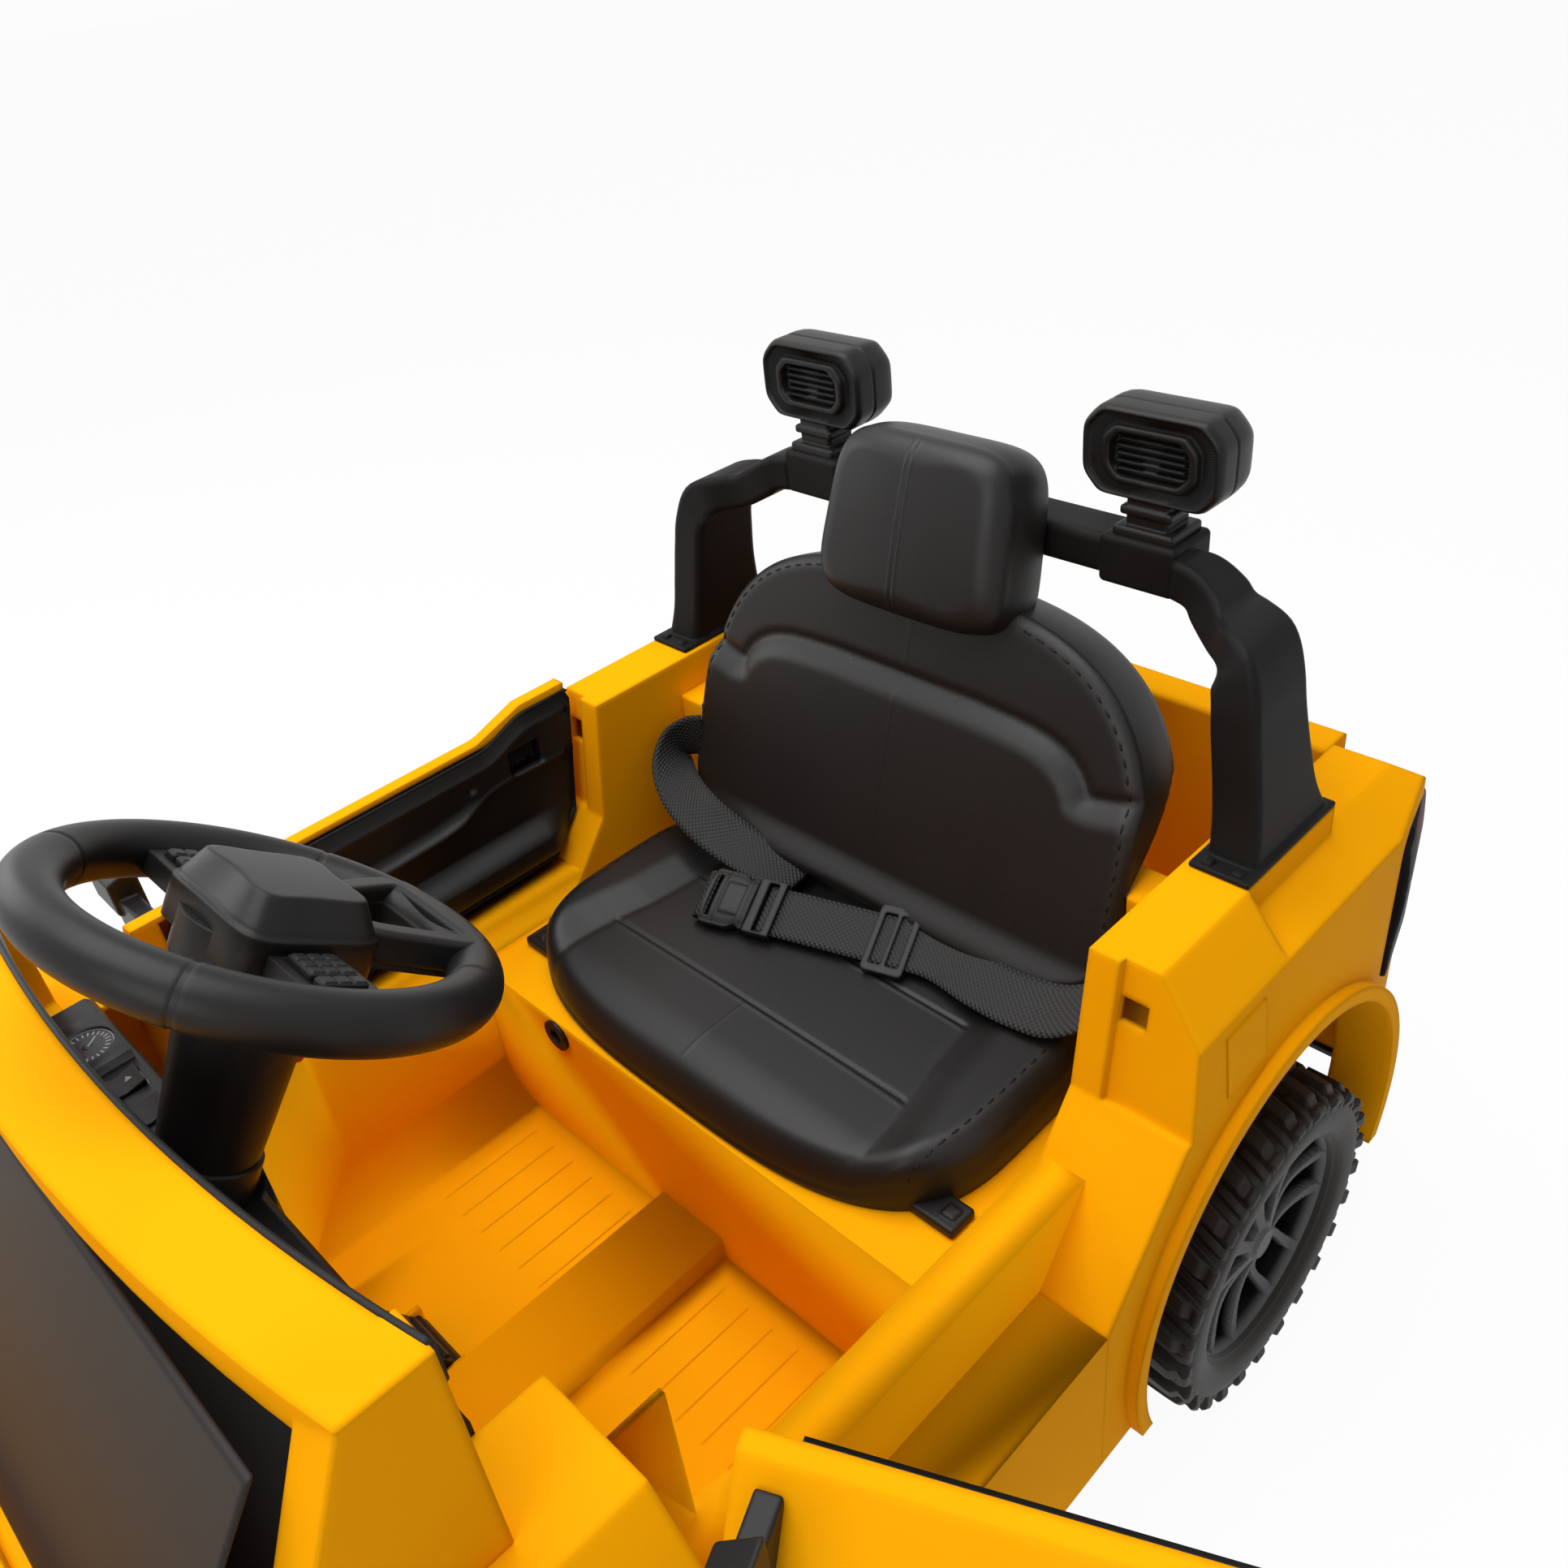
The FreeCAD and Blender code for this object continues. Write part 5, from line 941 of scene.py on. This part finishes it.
rim = {
    "spokes": 6, "hub": 17.5, "steps": 600, "face": 26.0, "dish": 6.0, "pocket": 20.0,
    "split": (4.0, 13),              # degrees from a spoke's middle to a leg at the hub, and more at the lip
    "leg": (3.7, 1.2),               # half width of a leg at the hub, and more at the lip
    "web": (50, 57, 0.75),           # inner and outer radius of the bridge between legs, and share of height
    "lip": (84, 85, 86, 87.2, 88.4, 89.6, 90.8, 91.6),
    "back": ((24.0, 91.8), (-32, 91.8), (-33, 90), (-33, 87), (-31, 85.5), (2, 84), (-1, 80), (-1, 40),
             (-1, 2)),
}


def rimRings():
    # front face by radius and angle: cap, split spokes over pockets painted dark as shade, and a narrow lip;
    # then barrel and back, with a mark of 1 on the faces that the painted shade leaves out
    w = rim
    turn = circle(w["steps"])[None]
    rad = np.concatenate([np.linspace(0.6, 83, 70), w["lip"]])[:, None]
    pair = np.abs((turn * w["spokes"] / (2 * np.pi)) % 1.0 - 0.5) * (2 * np.pi / w["spokes"])
    leg = np.radians(w["split"][0]) + np.radians(w["split"][1]) * ease(rad, 14, 84)
    off = rad * np.sin(np.abs(pair - leg))
    half = w["leg"][0] + w["leg"][1] * ease(rad, 58, 84)
    spoke = ease(half + 0.8 - off, 0, 1.4)
    inner, outer, share = w["web"]
    web = ease(rad, inner, inner + 1.5) * ease(rad, outer, outer - 1.5) * ease(leg - pair, -0.02, 0.02)
    hub = ease(w["hub"] - rad, 0, 1.6)
    lip = ease(rad, 83.6, 85.0)
    solid = np.clip(joined(spoke, share * web, hub, lip).max(-1), 0, 1)
    face = w["face"] - w["dish"] * np.sin(np.pi * np.clip((rad - 12) / 72, 0, 1)) + 3.0 * ease(rad, 83, 85)
    face = face + 2.5 * ease(rad, 12.5, 11) - 0.06 * rad * ease(rad, 11, 6) - 3.5 * ease(rad, 87, 91.6) ** 2
    front = spun(face - w["pocket"] * (1 - solid), rad, turn)
    back = np.array(w["back"])
    tail = spun(back[:, :1], back[:, 1:], turn)
    # the mark is 0 in the pockets and on the barrel and back, where the finish lays painted shade
    return np.concatenate([front, tail]), np.concatenate([solid, np.zeros(tail.shape[:2])])


def makeWheels():
    # one tyre and one rim, set at all four corners
    rubberRings = tyreRings()
    discRings, shadeFree = rimRings()
    for end, along in ((-1, "front"), (1, "rear")):
        for side, name in ((1, "left"), (-1, "right")):
            body = f"wheel_{along}_{name}"
            rubber = gridPiece(f"tread_{along}_{name}", wheelPlace(rubberRings, side, end), "rubberTread",
                               body, True, "ring")
            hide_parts(f"tyre_{along}_{name}")
            disc = gridPiece(f"spokes_{along}_{name}", wheelPlace(discRings, side, end), "rimPaintPocketShade",
                             body, True, "poles", shadeFree)
            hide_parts(f"rim_{along}_{name}")


makeWheels()
print("wheels turned")

steer = {
    "middle": (0.0, -132.5, 562.0), "tilt": 36.0,
    "ring": 101.5, "grip": 14.5, "seams": (43, 137, -45, -135), "seamCut": (1.0, 0.55), "seamDepth": 1.3,
    "parting": (0.5, 0.05), "partingAt": 5.9,
    "hub": (45.0, 36.0, 43.0, 5.0, 6.5), "hubTaper": 0.16, "hubCrown": 1.6, "hubSlope": 0.04,
    "tiers": (  # how far each of the hub's rings is drawn in, and its height
        (14.0, 27.5), (12.6, 27.3), (11.6, 26.6), (3.6, 14.0), (2.9, 13.0), (2.8, 11.5), (0.6, 11.2),
        (0.0, 10.2), (0.0, -10.0), (6.0, -10.5),
    ),
    "hoop": (33.0, 31.0, 31.0, 6.0, 6.0), "hoopFlare": 0.28, "hoopAt": (66.0, 5.5),
    "hoopCut": (7.0, 8.5, 3.2),      # half thickness, half depth and corner of its section
}


def onWheel(points):
    # local across, towards six o'clock and up to the driver, turned onto the steering shaft
    across, out, down = tiltAxes(steer["tilt"])
    return inAxes(points, steer["middle"], (across, down, out))


def makeGrip():
    # a round grip carried round a circle, pinched at each seam, with a fine parting line outside
    s = steer
    turn, phi = circle(540)[:, None], circle(48)[None]
    pinch = sum(ridge((np.degrees(turn) - at + 180) % 360 - 180, *s["seamCut"]) for at in s["seams"])
    grip = s["grip"] * (1 + 0.03 * np.cos(2 * turn)) - s["seamDepth"] * pinch
    grip = grip - ridge((phi - s["partingAt"]) % (2 * np.pi), *s["parting"])
    far = s["ring"] + grip * np.cos(phi)
    rings = np.stack([far * np.cos(turn), far * np.sin(turn), grip * np.sin(phi)], -1)
    gridPiece("steeringGrip", onWheel(rings), "blackShell", "steering", True, "ring")


def makeHub():
    # a shield in tiers: each ring is drawn in from the outline and set at its own height
    s = steer
    wide, low, high, *_ = s["hub"]
    loop = ovalLoop(288, *s["hub"])
    reach = np.hypot(*loop.T)[None, :, None]
    drawn, level = np.array(s["tiers"]).T[:, :, None, None]
    inner = np.linspace(0.02, 1, 16)[:, None, None] * (1 - drawn[0] / reach)
    flat = np.concatenate([inner, 1 - drawn[1:] / reach]) * loop[None]
    up = np.concatenate([np.repeat(level[:1], 15, 0), level])
    up = up + s["hubCrown"] * (1 - (flat[..., :1] / wide) ** 2) - s["hubSlope"] * flat[..., 1:]
    flat[..., 0] *= 1 - s["hubTaper"] * (flat[..., 1] + low) / (low + high)
    points = onWheel(np.concatenate([flat, up], -1))
    pad = gridPiece("hubCover", points, "blackShell", "steering")
    evenFaces(pad)
    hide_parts("hub_pad")


def makeHoop():
    # the lower spoke: a flat rounded section carried round a hoop that widens towards six o'clock
    s = steer
    hoop = ovalLoop(180, *s["hoop"])
    hoop[:, 0] *= 1 + s["hoopFlare"] * hoop[:, 1] / s["hoop"][1]
    hoop[:, 1] += s["hoopAt"][0]
    along = np.roll(hoop, -1, 0) - np.roll(hoop, 1, 0)
    side = np.stack([along[:, 1], -along[:, 0]], -1) / np.linalg.norm(along, axis=1)[:, None]
    cut = roundedRect(*s["hoopCut"], 6)
    plan = hoop[:, None] + cut[..., :1] * side[:, None]
    points = onWheel(joined(plan[..., 0], plan[..., 1], s["hoopAt"][1] + cut[..., 1]))
    spoke = gridPiece("lowerSpoke", points, "blackShell", "steering", True, "ring")
    evenFaces(spoke)


keys = {
    "padU": 58.0, "padHalf": (10.4, 11.4), "sideU": 75.0, "sideHalf": (4.0, 11.4), "v": -4.0,
    "top": 8.0, "rise": 1.0, "sunk": 0.3,
}


def keyPatch(name, body, middle, half, cells):
    # a sheet over the key pad: each key is a raised pillow with narrow gaps between, and the border sinks in
    k = keys
    u, v = np.meshgrid(np.linspace(-1, 1, 61), np.linspace(-1, 1, 61), indexing="ij")
    mask = 1.0
    for t, n, h in ((u, cells[0], half[0]), (v, cells[1], half[1])):
        edge = np.abs((t * 0.5 + 0.5) * n % 1.0 - 0.5)
        mask = mask * ease(edge, 0.49, 0.49 - n / (2 * h))
    lift = k["top"] - k["sunk"] + (k["rise"] + k["sunk"]) * mask
    points = np.stack([middle + u * half[0], k["v"] + v * half[1], lift], -1)
    gridPiece(name, onWheel(points), "blackShell", body, False, "open", None, None,
              (0, 0.6, 0.8))


makeGrip()
makeHub()
makeHoop()
for side, name in ((1, "left"), (-1, "right")):
    keyPatch("keyRows_" + name, "key_pad_" + name, side * keys["padU"], keys["padHalf"], (3, 3))
    keyPatch("keyColumn_" + name, "key_side_" + name, side * keys["sideU"], keys["sideHalf"], (1, 3))
print("steering wheel made")

dial = {
    "middle": (-150.0, -206.0), "radius": 14.4, "under": 1.7, "boss": 0.25, "ticks": 24, "needle": 130.0,
    "tickFrom": 9.6, "tickTo": 12.9, "needleTo": 9.0, "ringFrom": 13.4,
}


def makeDial():
    # a disc by radius and angle, its marks a ring of ticks, one needle and a rim
    d = dial
    _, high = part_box("dashboard")
    turn = circle(480)[None]
    rad = np.linspace(0.3, d["radius"], 30)[:, None]
    z = high.z * 1000 - d["under"] + d["boss"] * ease(rad, 2.5, 2.0)
    points = joined(d["middle"][0] + rad * np.cos(turn), d["middle"][1] + rad * np.sin(turn), z)
    beat = np.abs((turn * d["ticks"] / (2 * np.pi)) % 1.0 - 0.5) * 2 * np.pi / d["ticks"] * rad
    tick = ease(beat, 0.55, 0.25) * ease(rad, d["tickFrom"], d["tickFrom"] + 0.4)
    tick = tick * ease(rad, d["tickTo"], d["tickTo"] - 0.4)
    aim = turn - math.radians(d["needle"])
    needle = ease(np.abs(rad * np.sin(aim)), 0.6, 0.3) * (np.cos(aim) > 0)
    needle = needle * ease(rad, d["needleTo"], d["needleTo"] - 0.4)
    edge = 0.6 * ease(rad, d["ringFrom"], d["ringFrom"] + 0.2)
    marks = joined(tick, needle, edge).max(-1)
    gridPiece("dialFace", points, "dialPrint", "chassis", True, "open", marks, None,
              (0, 0, 1))


makeDial()
print("dial printed")

rockerMark = {"spot": (-108.5, -200.8, 442.7), "slope": 0.204, "size": 2.5, "under": 0.2, "over": 0.15}


def makeRockerMark():
    # a small three-sided plate on the drive rocker's raised half, laid along its slope
    s = rockerMark
    spotX, spotY, spotZ = s["spot"]
    turn = np.radians([180, 300, 60])
    size = np.array([0.02, s["size"], s["size"], 0.02])[:, None]
    lift = np.array([-s["under"], -s["under"], s["over"], s["over"]])[:, None]
    x, y = spotX + size * np.cos(turn), spotY + size * np.sin(turn)
    points = np.stack([x, y, spotZ + s["slope"] * (y - spotY) + lift], -1)
    mark = gridPiece("rockerTriangle", points, "dialPrint", "switch_drive",
                     marks=np.ones((4, 3)))
    evenFaces(mark)


collar = {
    "centre": (0.0, -132.5, 562.0), "tilt": 33.5, "from": 117.0, "to": 139.0, "radius": 25.0, "half": 1.9,
    "corner": 1.2,
}


def makeCollar():
    # a rounded band turned round the column's tilted axis
    s = collar
    across, along, side = tiltAxes(s["tilt"])
    band = roundedRect(s["half"], (s["to"] - s["from"]) / 2, s["corner"], 12)
    turn = circle(96)[:, None, None]
    edge = (s["radius"] + band[..., :1]) * (np.cos(turn) * across + np.sin(turn) * side)
    drop = ((s["from"] + s["to"]) / 2 + band[..., 1:]) * along
    points = np.array(s["centre"]) + edge - drop
    gridPiece("columnCollar", points, "blackShell", "chassis", ends="ring")


headerSeal = {
    "half": 246.0, "edge": -229.0, "arc": 1136.0, "thick": 3.4, "tall": 24.0, "top": 555.6, "corner": 1.4,
    "sunk": 0.5,
}


def makeHeaderSeal():
    # a thin rounded lip swept along the header's inner arc: y = edge + arc - sqrt(arc^2 - x^2)
    s = headerSeal
    x = np.linspace(-s["half"], s["half"], 120)[:, None]
    lip = roundedRect(s["thick"] / 2, s["tall"] / 2, s["corner"], 14)
    y = s["edge"] + s["arc"] - np.sqrt(s["arc"] ** 2 - x ** 2) + s["thick"] / 2 - s["sunk"] + lip[..., 0]
    z = s["top"] - s["tall"] / 2 + lip[..., 1]
    gridPiece("headerSeal", joined(x, y, z), "blackShell", "chassis")


makeRockerMark()
makeCollar()
makeHeaderSeal()
print("collar, seal and mark made")

rollBar = {
    "arm": (  # centre x, y, z; turn of the section's outer side; half thickness; half depth
        (163, 402.5, 570.5, 90, 13.5, 13.5), (178, 402.5, 568.5, 80, 13.5, 16.5),
        (191, 400, 561, 56, 13.5, 19.5), (203, 394, 554, 72, 13, 22.5), (217, 385, 552.5, 78, 13.5, 26),
        (228.5, 377, 548.5, 46, 15, 28.5), (234.5, 373, 534, 8, 15.8, 30), (238.5, 371.5, 510, 6, 16, 31.5),
        (243.5, 372, 478, 8, 16.2, 34), (247.5, 374, 448, 6, 16.4, 39), (249.5, 376, 433, 3, 16.6, 45),
        (250, 377, 428.4, 0, 17, 47.5),
    ),
    "corner": 0.40,                  # of the thinner half
    "block": ((112, 389, 557), (166, 433, 590), 4.0),    # low corner, high corner, rounding
    "tube": ((-116, 392.5, 560), (116, 429.5, 586.5), 6.0),
    "flange": ((230, 317, 428.1), (270, 425, 432), 1.6, 4),
    "screws": ((240, 323.5), (260, 323.5)), "screwHalf": 3.6, "screwZ": (431, 434.2),
}


def makeRollBar():
    # each arm is a rounded section carried from its block over a shoulder and down the post to its flange
    b = rollBar
    line, _ = smoothPath(b["arm"], 70)
    turn, thick, deep = np.radians(line[:, 3]), line[:, 4], line[:, 5]
    outer = np.stack([np.cos(turn), 0 * turn, np.sin(turn)], -1)
    loops = roundedRect(thick, deep, b["corner"] * np.minimum(thick, deep), 8)
    arm = line[:, None, :3] + loops[..., :1] * outer[:, None] + loops[..., 1:] * np.array([0.0, 1.0, 0.0])
    half = [arm, softBox(*b["block"]), softBox(*b["flange"])]
    r, (low, high) = b["screwHalf"], b["screwZ"]
    half += [softBox((x - r, y - r, low), (x + r, y + r, high), 1.5, 4) for x, y in b["screws"]]
    bar = gridPiece("rollBarShell", [softBox(*b["tube"])] + bothSides(half), "dullBar", "chassis")
    evenFaces(bar)
    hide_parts("roll_bar")


roofLamp = {
    "place": (140.0, 397.0, 640.0), "size": (96.0, 57.0, 12.5),  # width, height, cut corner
    "count": 640, "power": 26, "teeth": 160, "toothHigh": 0.8, "louvres": 5, "louvreHigh": 4.6,
    # rings as shares of the width and height, and depth behind the front
    "step": ((0.555, 0.475, 4.0), (0.565, 0.485, 0.0), (0.58, 0.50, -1.4), (0.65, 0.59, -1.4),
             (0.675, 0.62, -0.4), (0.69, 0.635, 3.0)),
    "bezel": ((0.905, 0.875, 0.6), (0.925, 0.90, -0.3), (0.955, 0.935, 0.0), (0.985, 0.975, 2.0),
              (1.0, 1.0, 5.0), (1.0, 1.0, 15.5), (0.998, 0.997, 16.2), (0.98, 0.965, 16.8),
              (0.98, 0.965, 17.8), (0.998, 0.997, 18.4), (1.0, 1.0, 19.2), (1.0, 1.0, 26.0)),
    "back": ((0.985, 0.975, 33.0), (0.955, 0.93, 38.0), (0.90, 0.86, 41.0), (0.82, 0.76, 42.0),
             (0.4, 0.36, 42.0), (0.03, 0.03, 42.0)),
}


def eightSided(w, h, c, count, n):
    # octagons with cut corners by angle: the n-norm of the distances to the sides eases the corners
    t = circle(count)[None]
    w, h, c = (np.asarray(k, float)[:, None] for k in (w, h, c))
    x, y = np.abs(np.cos(t)), np.abs(np.sin(t))
    cut = (w / 2 + h / 2 - c) / math.sqrt(2)
    r = ((2 * x / w) ** n + (2 * y / h) ** n + ((x + y) / math.sqrt(2) / cut) ** n) ** (-1 / n)
    return np.stack([r * np.cos(t), r * np.sin(t)], -1)


def makeRoofLamps():
    # rings from the louvred recess over a raised frame, a toothed ring and the bezel, round the sides to the
    # back, on a stem with two collars
    s = roofLamp
    w, h, c = s["size"]
    recess = [(0.54 * k, 0.46 * k, 6.0) for k in np.linspace(0.03, 1, 22)]
    teeth = [(0.70 + 0.2 * k, 0.65 + 0.22 * k, 3.6 - 1.4 * k) for k in np.linspace(0, 1, 8)]
    parts = (recess, s["step"], teeth, s["bezel"], s["back"])
    across, tall, deep = np.concatenate(parts).T
    kind = np.repeat(np.arange(len(parts)), [len(rows) for rows in parts])[:, None]
    loops = eightSided(w * across, h * tall, c * across, s["count"], s["power"])
    u, v = loops[..., 0], loops[..., 1]
    pitch = 0.42 * h / s["louvres"]
    bar = ease(np.cos(2 * np.pi * v / pitch), -0.2, 0.5) * ease(np.abs(u), 0.26 * w, 0.24 * w)
    tooth = np.cos(circle(s["count"]) * s["teeth"])
    y = deep[:, None] - (kind == 0) * s["louvreHigh"] * bar - (kind == 2) * s["toothHigh"] * tooth[None]
    lamp = np.stack([u, y, v], -1) + np.array(s["place"])
    x, base = s["place"][0], s["place"][2] - h / 2
    half = [
        lamp,
        softBox((x - 15, 398, 592), (x + 15, 424, base + 5), 3.0),
        softBox((x - 18, 396, base - 9), (x + 18, 426, base - 3), 2.0),
        softBox((x - 21, 393, 588), (x + 21, 429, 596), 2.5),
    ]
    lamps = gridPiece("roofLampShell", bothSides(half), "blackShell", "chassis")
    evenFaces(lamps)
    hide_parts("roof_lamps")


tailLamp = {
    "middle": (281.4, 527.0), "half": (6.0, 39.0), "corner": 3.0, "low": 246.0, "high": 374.0,
    "taper": 0.24, "lean": (4.0, 330, 390), "swell": (17.0, 21.0), "swellAt": 515.0,
    "seams": (328, 282), "seamCut": (0.8, 1.0),
    "field": (331, 366, 494, 570),   # the red field's low, high, front and rear edges
    "hole": (340, 357, 502, 545),    # and those of the dark patch in it
}


def makeTailLamps():
    # a thin rounded plan that follows the tapered flank, stacked upwards, swollen and drawn in at both ends,
    # with a marked red field on its upper part and two fine seams
    s = tailLamp
    t = np.linspace(0, 1, 90)[:, None]
    z = s["low"] + (s["high"] - s["low"]) * t
    foot, head = np.clip((0.06 - t) / 0.06, 0, 1), np.clip((t - 0.90) / 0.10, 0, 1)
    draw = (1 - foot ** 2 * 0.25) * (1 - head ** 2 * 0.45)
    plan = roundedRect(*s["half"], s["corner"], 30)
    y = s["middle"][1] + draw * plan[..., 1]
    lean, *leanFrom = s["lean"]
    x = s["middle"][0] + plan[..., 0] - s["taper"] * (y - s["middle"][1]) - lean * ease(z, *leanFrom)
    rise = (0.4 + 0.6 * ease(t, 0.15, 0.6)) * np.sqrt(np.clip((1 - t) / 0.12, 0, 1) * np.clip(t / 0.1, 0, 1))
    x = x - sum(ridge(z - at, *s["seamCut"]) for at in s["seams"])
    x = x + ridge(y - s["swellAt"], *s["swell"]) * (plan[..., 0] > 0) * rise
    shell = joined(x, y, z)

    def patch(low, high, front, rear):
        # 1 within four edges that are each eased over 2 mm
        tall = ease(z, low, low + 2) * ease(z, high, high - 2)
        return tall * ease(y, front, front + 2) * ease(y, rear, rear - 2)

    marks = patch(*s["field"]) - patch(*s["hole"])
    lamps = gridPiece("tailLampShell", bothSides([shell]), "tailGlass", "chassis", True, "poles",
                      [marks, marks])
    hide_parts("tail_lamps")


seatTab = {
    "plate": ((176, 104, 270.4), (214, 127, 278.5), 2.4, 5),     # low corner, high corner, rounding
    "screw": (204.5, 115.5), "screwHalf": 5, "screwZ": (276, 280.2),
}


def makeSeatTabs():
    # the cushion's fixing tabs: a rounded plate with a raised screw boss each
    s = seatTab
    (x, y), r, (low, high) = s["screw"], s["screwHalf"], s["screwZ"]
    half = [softBox(*s["plate"]), softBox((x - r, y - r, low), (x + r, y + r, high), 1.6, 4)]
    tabs = gridPiece("seatTabs", bothSides(half), "blackShell", "chassis")
    evenFaces(tabs)


liner = {
    "front": -118.0, "rear": 216.0, "plane": 255.0, "back": 259.6, "hinge": (298.0, -142.0), "open": -65.0,
    "top": (421.0, 435.0, 128, 176),  # height in front and behind, and where it rises
    "foot": ((0, 295), (172, 295), (200, 329), (216.5, 431)),
    "step": ((-118, 371), (40, 372), (80, 373.5), (100, 376), (118, 381), (132, 385), (150, 386.5),
             (180, 384), (216, 383)),
    "stepDeep": 3.5, "ledge": (7.0, 128, 90), "lineLip": (1.2, 1.6), "railLip": (0.8, 2.0), "railSlope": 0.42,
    "rest": (17.0, 3.0),             # how far the armrest stands in, and less at its lower edge
    "pull": (152.0, 180.0, 388.0, 408.0), "pullDeep": 15.0,
    "holes": ((210, 417), (114, 396), (-6, 398), (205, 345)), "holeDeep": 4.5,
}


def linerHeight(y, z, top):
    # how far the panel stands into the cabin: sloped top rail, a step along a line, a long armrest, a pull
    # pocket and four screw holes
    s = liner
    h = -s["railSlope"] * np.clip(z - (top - 13), 0, 20) + ridge(z - top + 14, *s["railLip"])
    above = z - np.interp(y, *zip(*s["step"]))
    proud, *ends = s["ledge"]
    ledge = proud * ease(y, *ends) * np.exp(-np.clip(above / 5.0, -3, 9) ** 2) * ease(above, -9, -1)
    h = h - s["stepDeep"] * ease(above, 0, -2.5) + ledge + ridge(above - 1.5, *s["lineLip"])
    rest = ease(z, 343, 326) * ease(z, 293, 312) * ease(y, 199, 165)
    h = h + (s["rest"][0] - s["rest"][1] * ease(z, 318, 300)) * rest
    low, high, under, over = s["pull"]
    well = ease(y, low - 2, low + 2) * ease(y, high + 2, high - 2)
    h = h - s["pullDeep"] * well * ease(z, under - 2, under + 2) * ease(z, over + 2, over - 2)
    for a, b in s["holes"]:
        h = h - s["holeDeep"] * ease(np.hypot(y - a, z - b), 4.2, 3.0)
    return h


def makeLiners():
    # a ring at each station along the door: up the shaped face and back down its flat rear side; the near one
    # is swung about its hinge, as its door is
    s = liner
    y = np.linspace(s["front"], s["rear"], 230)[:, None]
    lower, upper, *climb = s["top"]
    top = lower + (upper - lower) * ease(y, *climb)
    low = np.interp(y, *zip(*s["foot"]))
    t = np.linspace(0, 1, 120)[None]
    z = low + (np.maximum(top, low + 1) - low) * t
    edge = ease(t, 0, 0.02) * ease(1 - t, 0, 0.015)
    face = joined(s["plane"] - linerHeight(y + 0 * t, z, top) * edge, y, z)
    rear = joined(np.maximum(s["back"], face[..., 0] + 1.0), y, z)[:, ::-1]
    shut = np.concatenate([face, rear], 1)
    far = gridPiece("linerRight", flipped(shut), "blackShell", "door_r")
    a, (hingeX, hingeY) = math.radians(s["open"]), s["hinge"]
    x, w = shut[..., 0] - hingeX, shut[..., 1] - hingeY
    swungX, swungY = x * math.cos(a) - w * math.sin(a), x * math.sin(a) + w * math.cos(a)
    swung = np.stack([hingeX + swungX, hingeY + swungY, shut[..., 2]], -1)
    near = gridPiece("linerLeft", swung, "blackShell", "door_l")
    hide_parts("door_liner_right")
    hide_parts("door_liner_left")


makeRollBar()
makeRoofLamps()
makeTailLamps()
makeSeatTabs()
makeLiners()
print("bars, lamps and door liners made")

studio = {
    "floorHalf": 20.0,
    "floorTone": 0.86,
    "floorGlow": 0.95,     # share of white that the lens sees on the floor
    "lamps": {  # name: place, aim, size, watts
        "topBox": ((-0.3, 0.0, 2.4), (0.0, 0.1, 0.3), 2.0, 56.0),
        "frontBox": ((1.0, -2.3, 1.7), (0.0, 0.0, 0.35), 1.6, 26.0),
        "sideBox": ((-2.3, -0.6, 1.5), (0.0, 0.1, 0.35), 1.4, 16.0),
    },
    "ambient": 0.30,
    "backdrop": 0.97,
}


def seenRays(bench):
    # 1 for rays that the lens, a gloss or a clear piece looks along
    kinds = ("Is Camera Ray", "Is Glossy Ray", "Is Transmission Ray")
    seen, gloss, clear = (bench.make("LightPath", out=kind) for kind in kinds)
    return bench.maths("MAXIMUM", bench.maths("MAXIMUM", seen, gloss), clear)


def layFloor(s):
    # a pale square floor that shows as white to the lens
    half = s["floorHalf"]
    mesh = bpy.data.meshes.new("studioFloor")
    corners = [(-half, -half, 0), (half, -half, 0), (half, half, 0), (-half, half, 0)]
    mesh.from_pydata(corners, [], [(0, 1, 2, 3)])
    floor = bpy.data.objects.new("studioFloor", mesh)
    bpy.context.scene.collection.objects.link(floor)
    material, bench = startMaterial("studioPaper")
    plain = bench.make("BsdfDiffuse", None, {"Color": (s["floorTone"],) * 3 + (1,)})
    glow = bench.make("Emission", None, {"Color": (1, 1, 1, 1), "Strength": 1.0})
    mixed = bench.make("MixShader", None, {0: seenRays(bench) * s["floorGlow"], 1: plain, 2: glow})
    bench.make("OutputMaterial", None, {"Surface": mixed})
    mesh.materials.append(material)


def lightStudio(s):
    # a dim white world that shows as white to the lens, and three soft boxes
    world = bpy.data.worlds.new("studioAir")
    bpy.context.scene.world = world
    world.use_nodes = True
    world.node_tree.nodes.clear()
    air = Wire(world.node_tree)
    dim = air.make("Background", None, {"Color": (1, 1, 1, 1), "Strength": s["ambient"]})
    white = air.make("Background", None, {"Color": (1, 1, 1, 1), "Strength": s["backdrop"]})
    both = air.make("MixShader", None, {0: seenRays(air), 1: dim, 2: white})
    air.make("OutputWorld", None, {"Surface": both})
    for name, (place, aim, size, watts) in s["lamps"].items():
        data = bpy.data.lights.new(name, "AREA")
        data.energy, data.size = watts, size
        lamp = bpy.data.objects.new(name, data)
        lamp.location = place
        lamp.rotation_euler = (Vector(aim) - Vector(place)).to_track_quat("-Z", "Y").to_euler()
        bpy.context.scene.collection.objects.link(lamp)


layFloor(studio)
lightStudio(studio)
bpy.context.scene.view_settings.view_transform = "Standard"
print("studio lit")
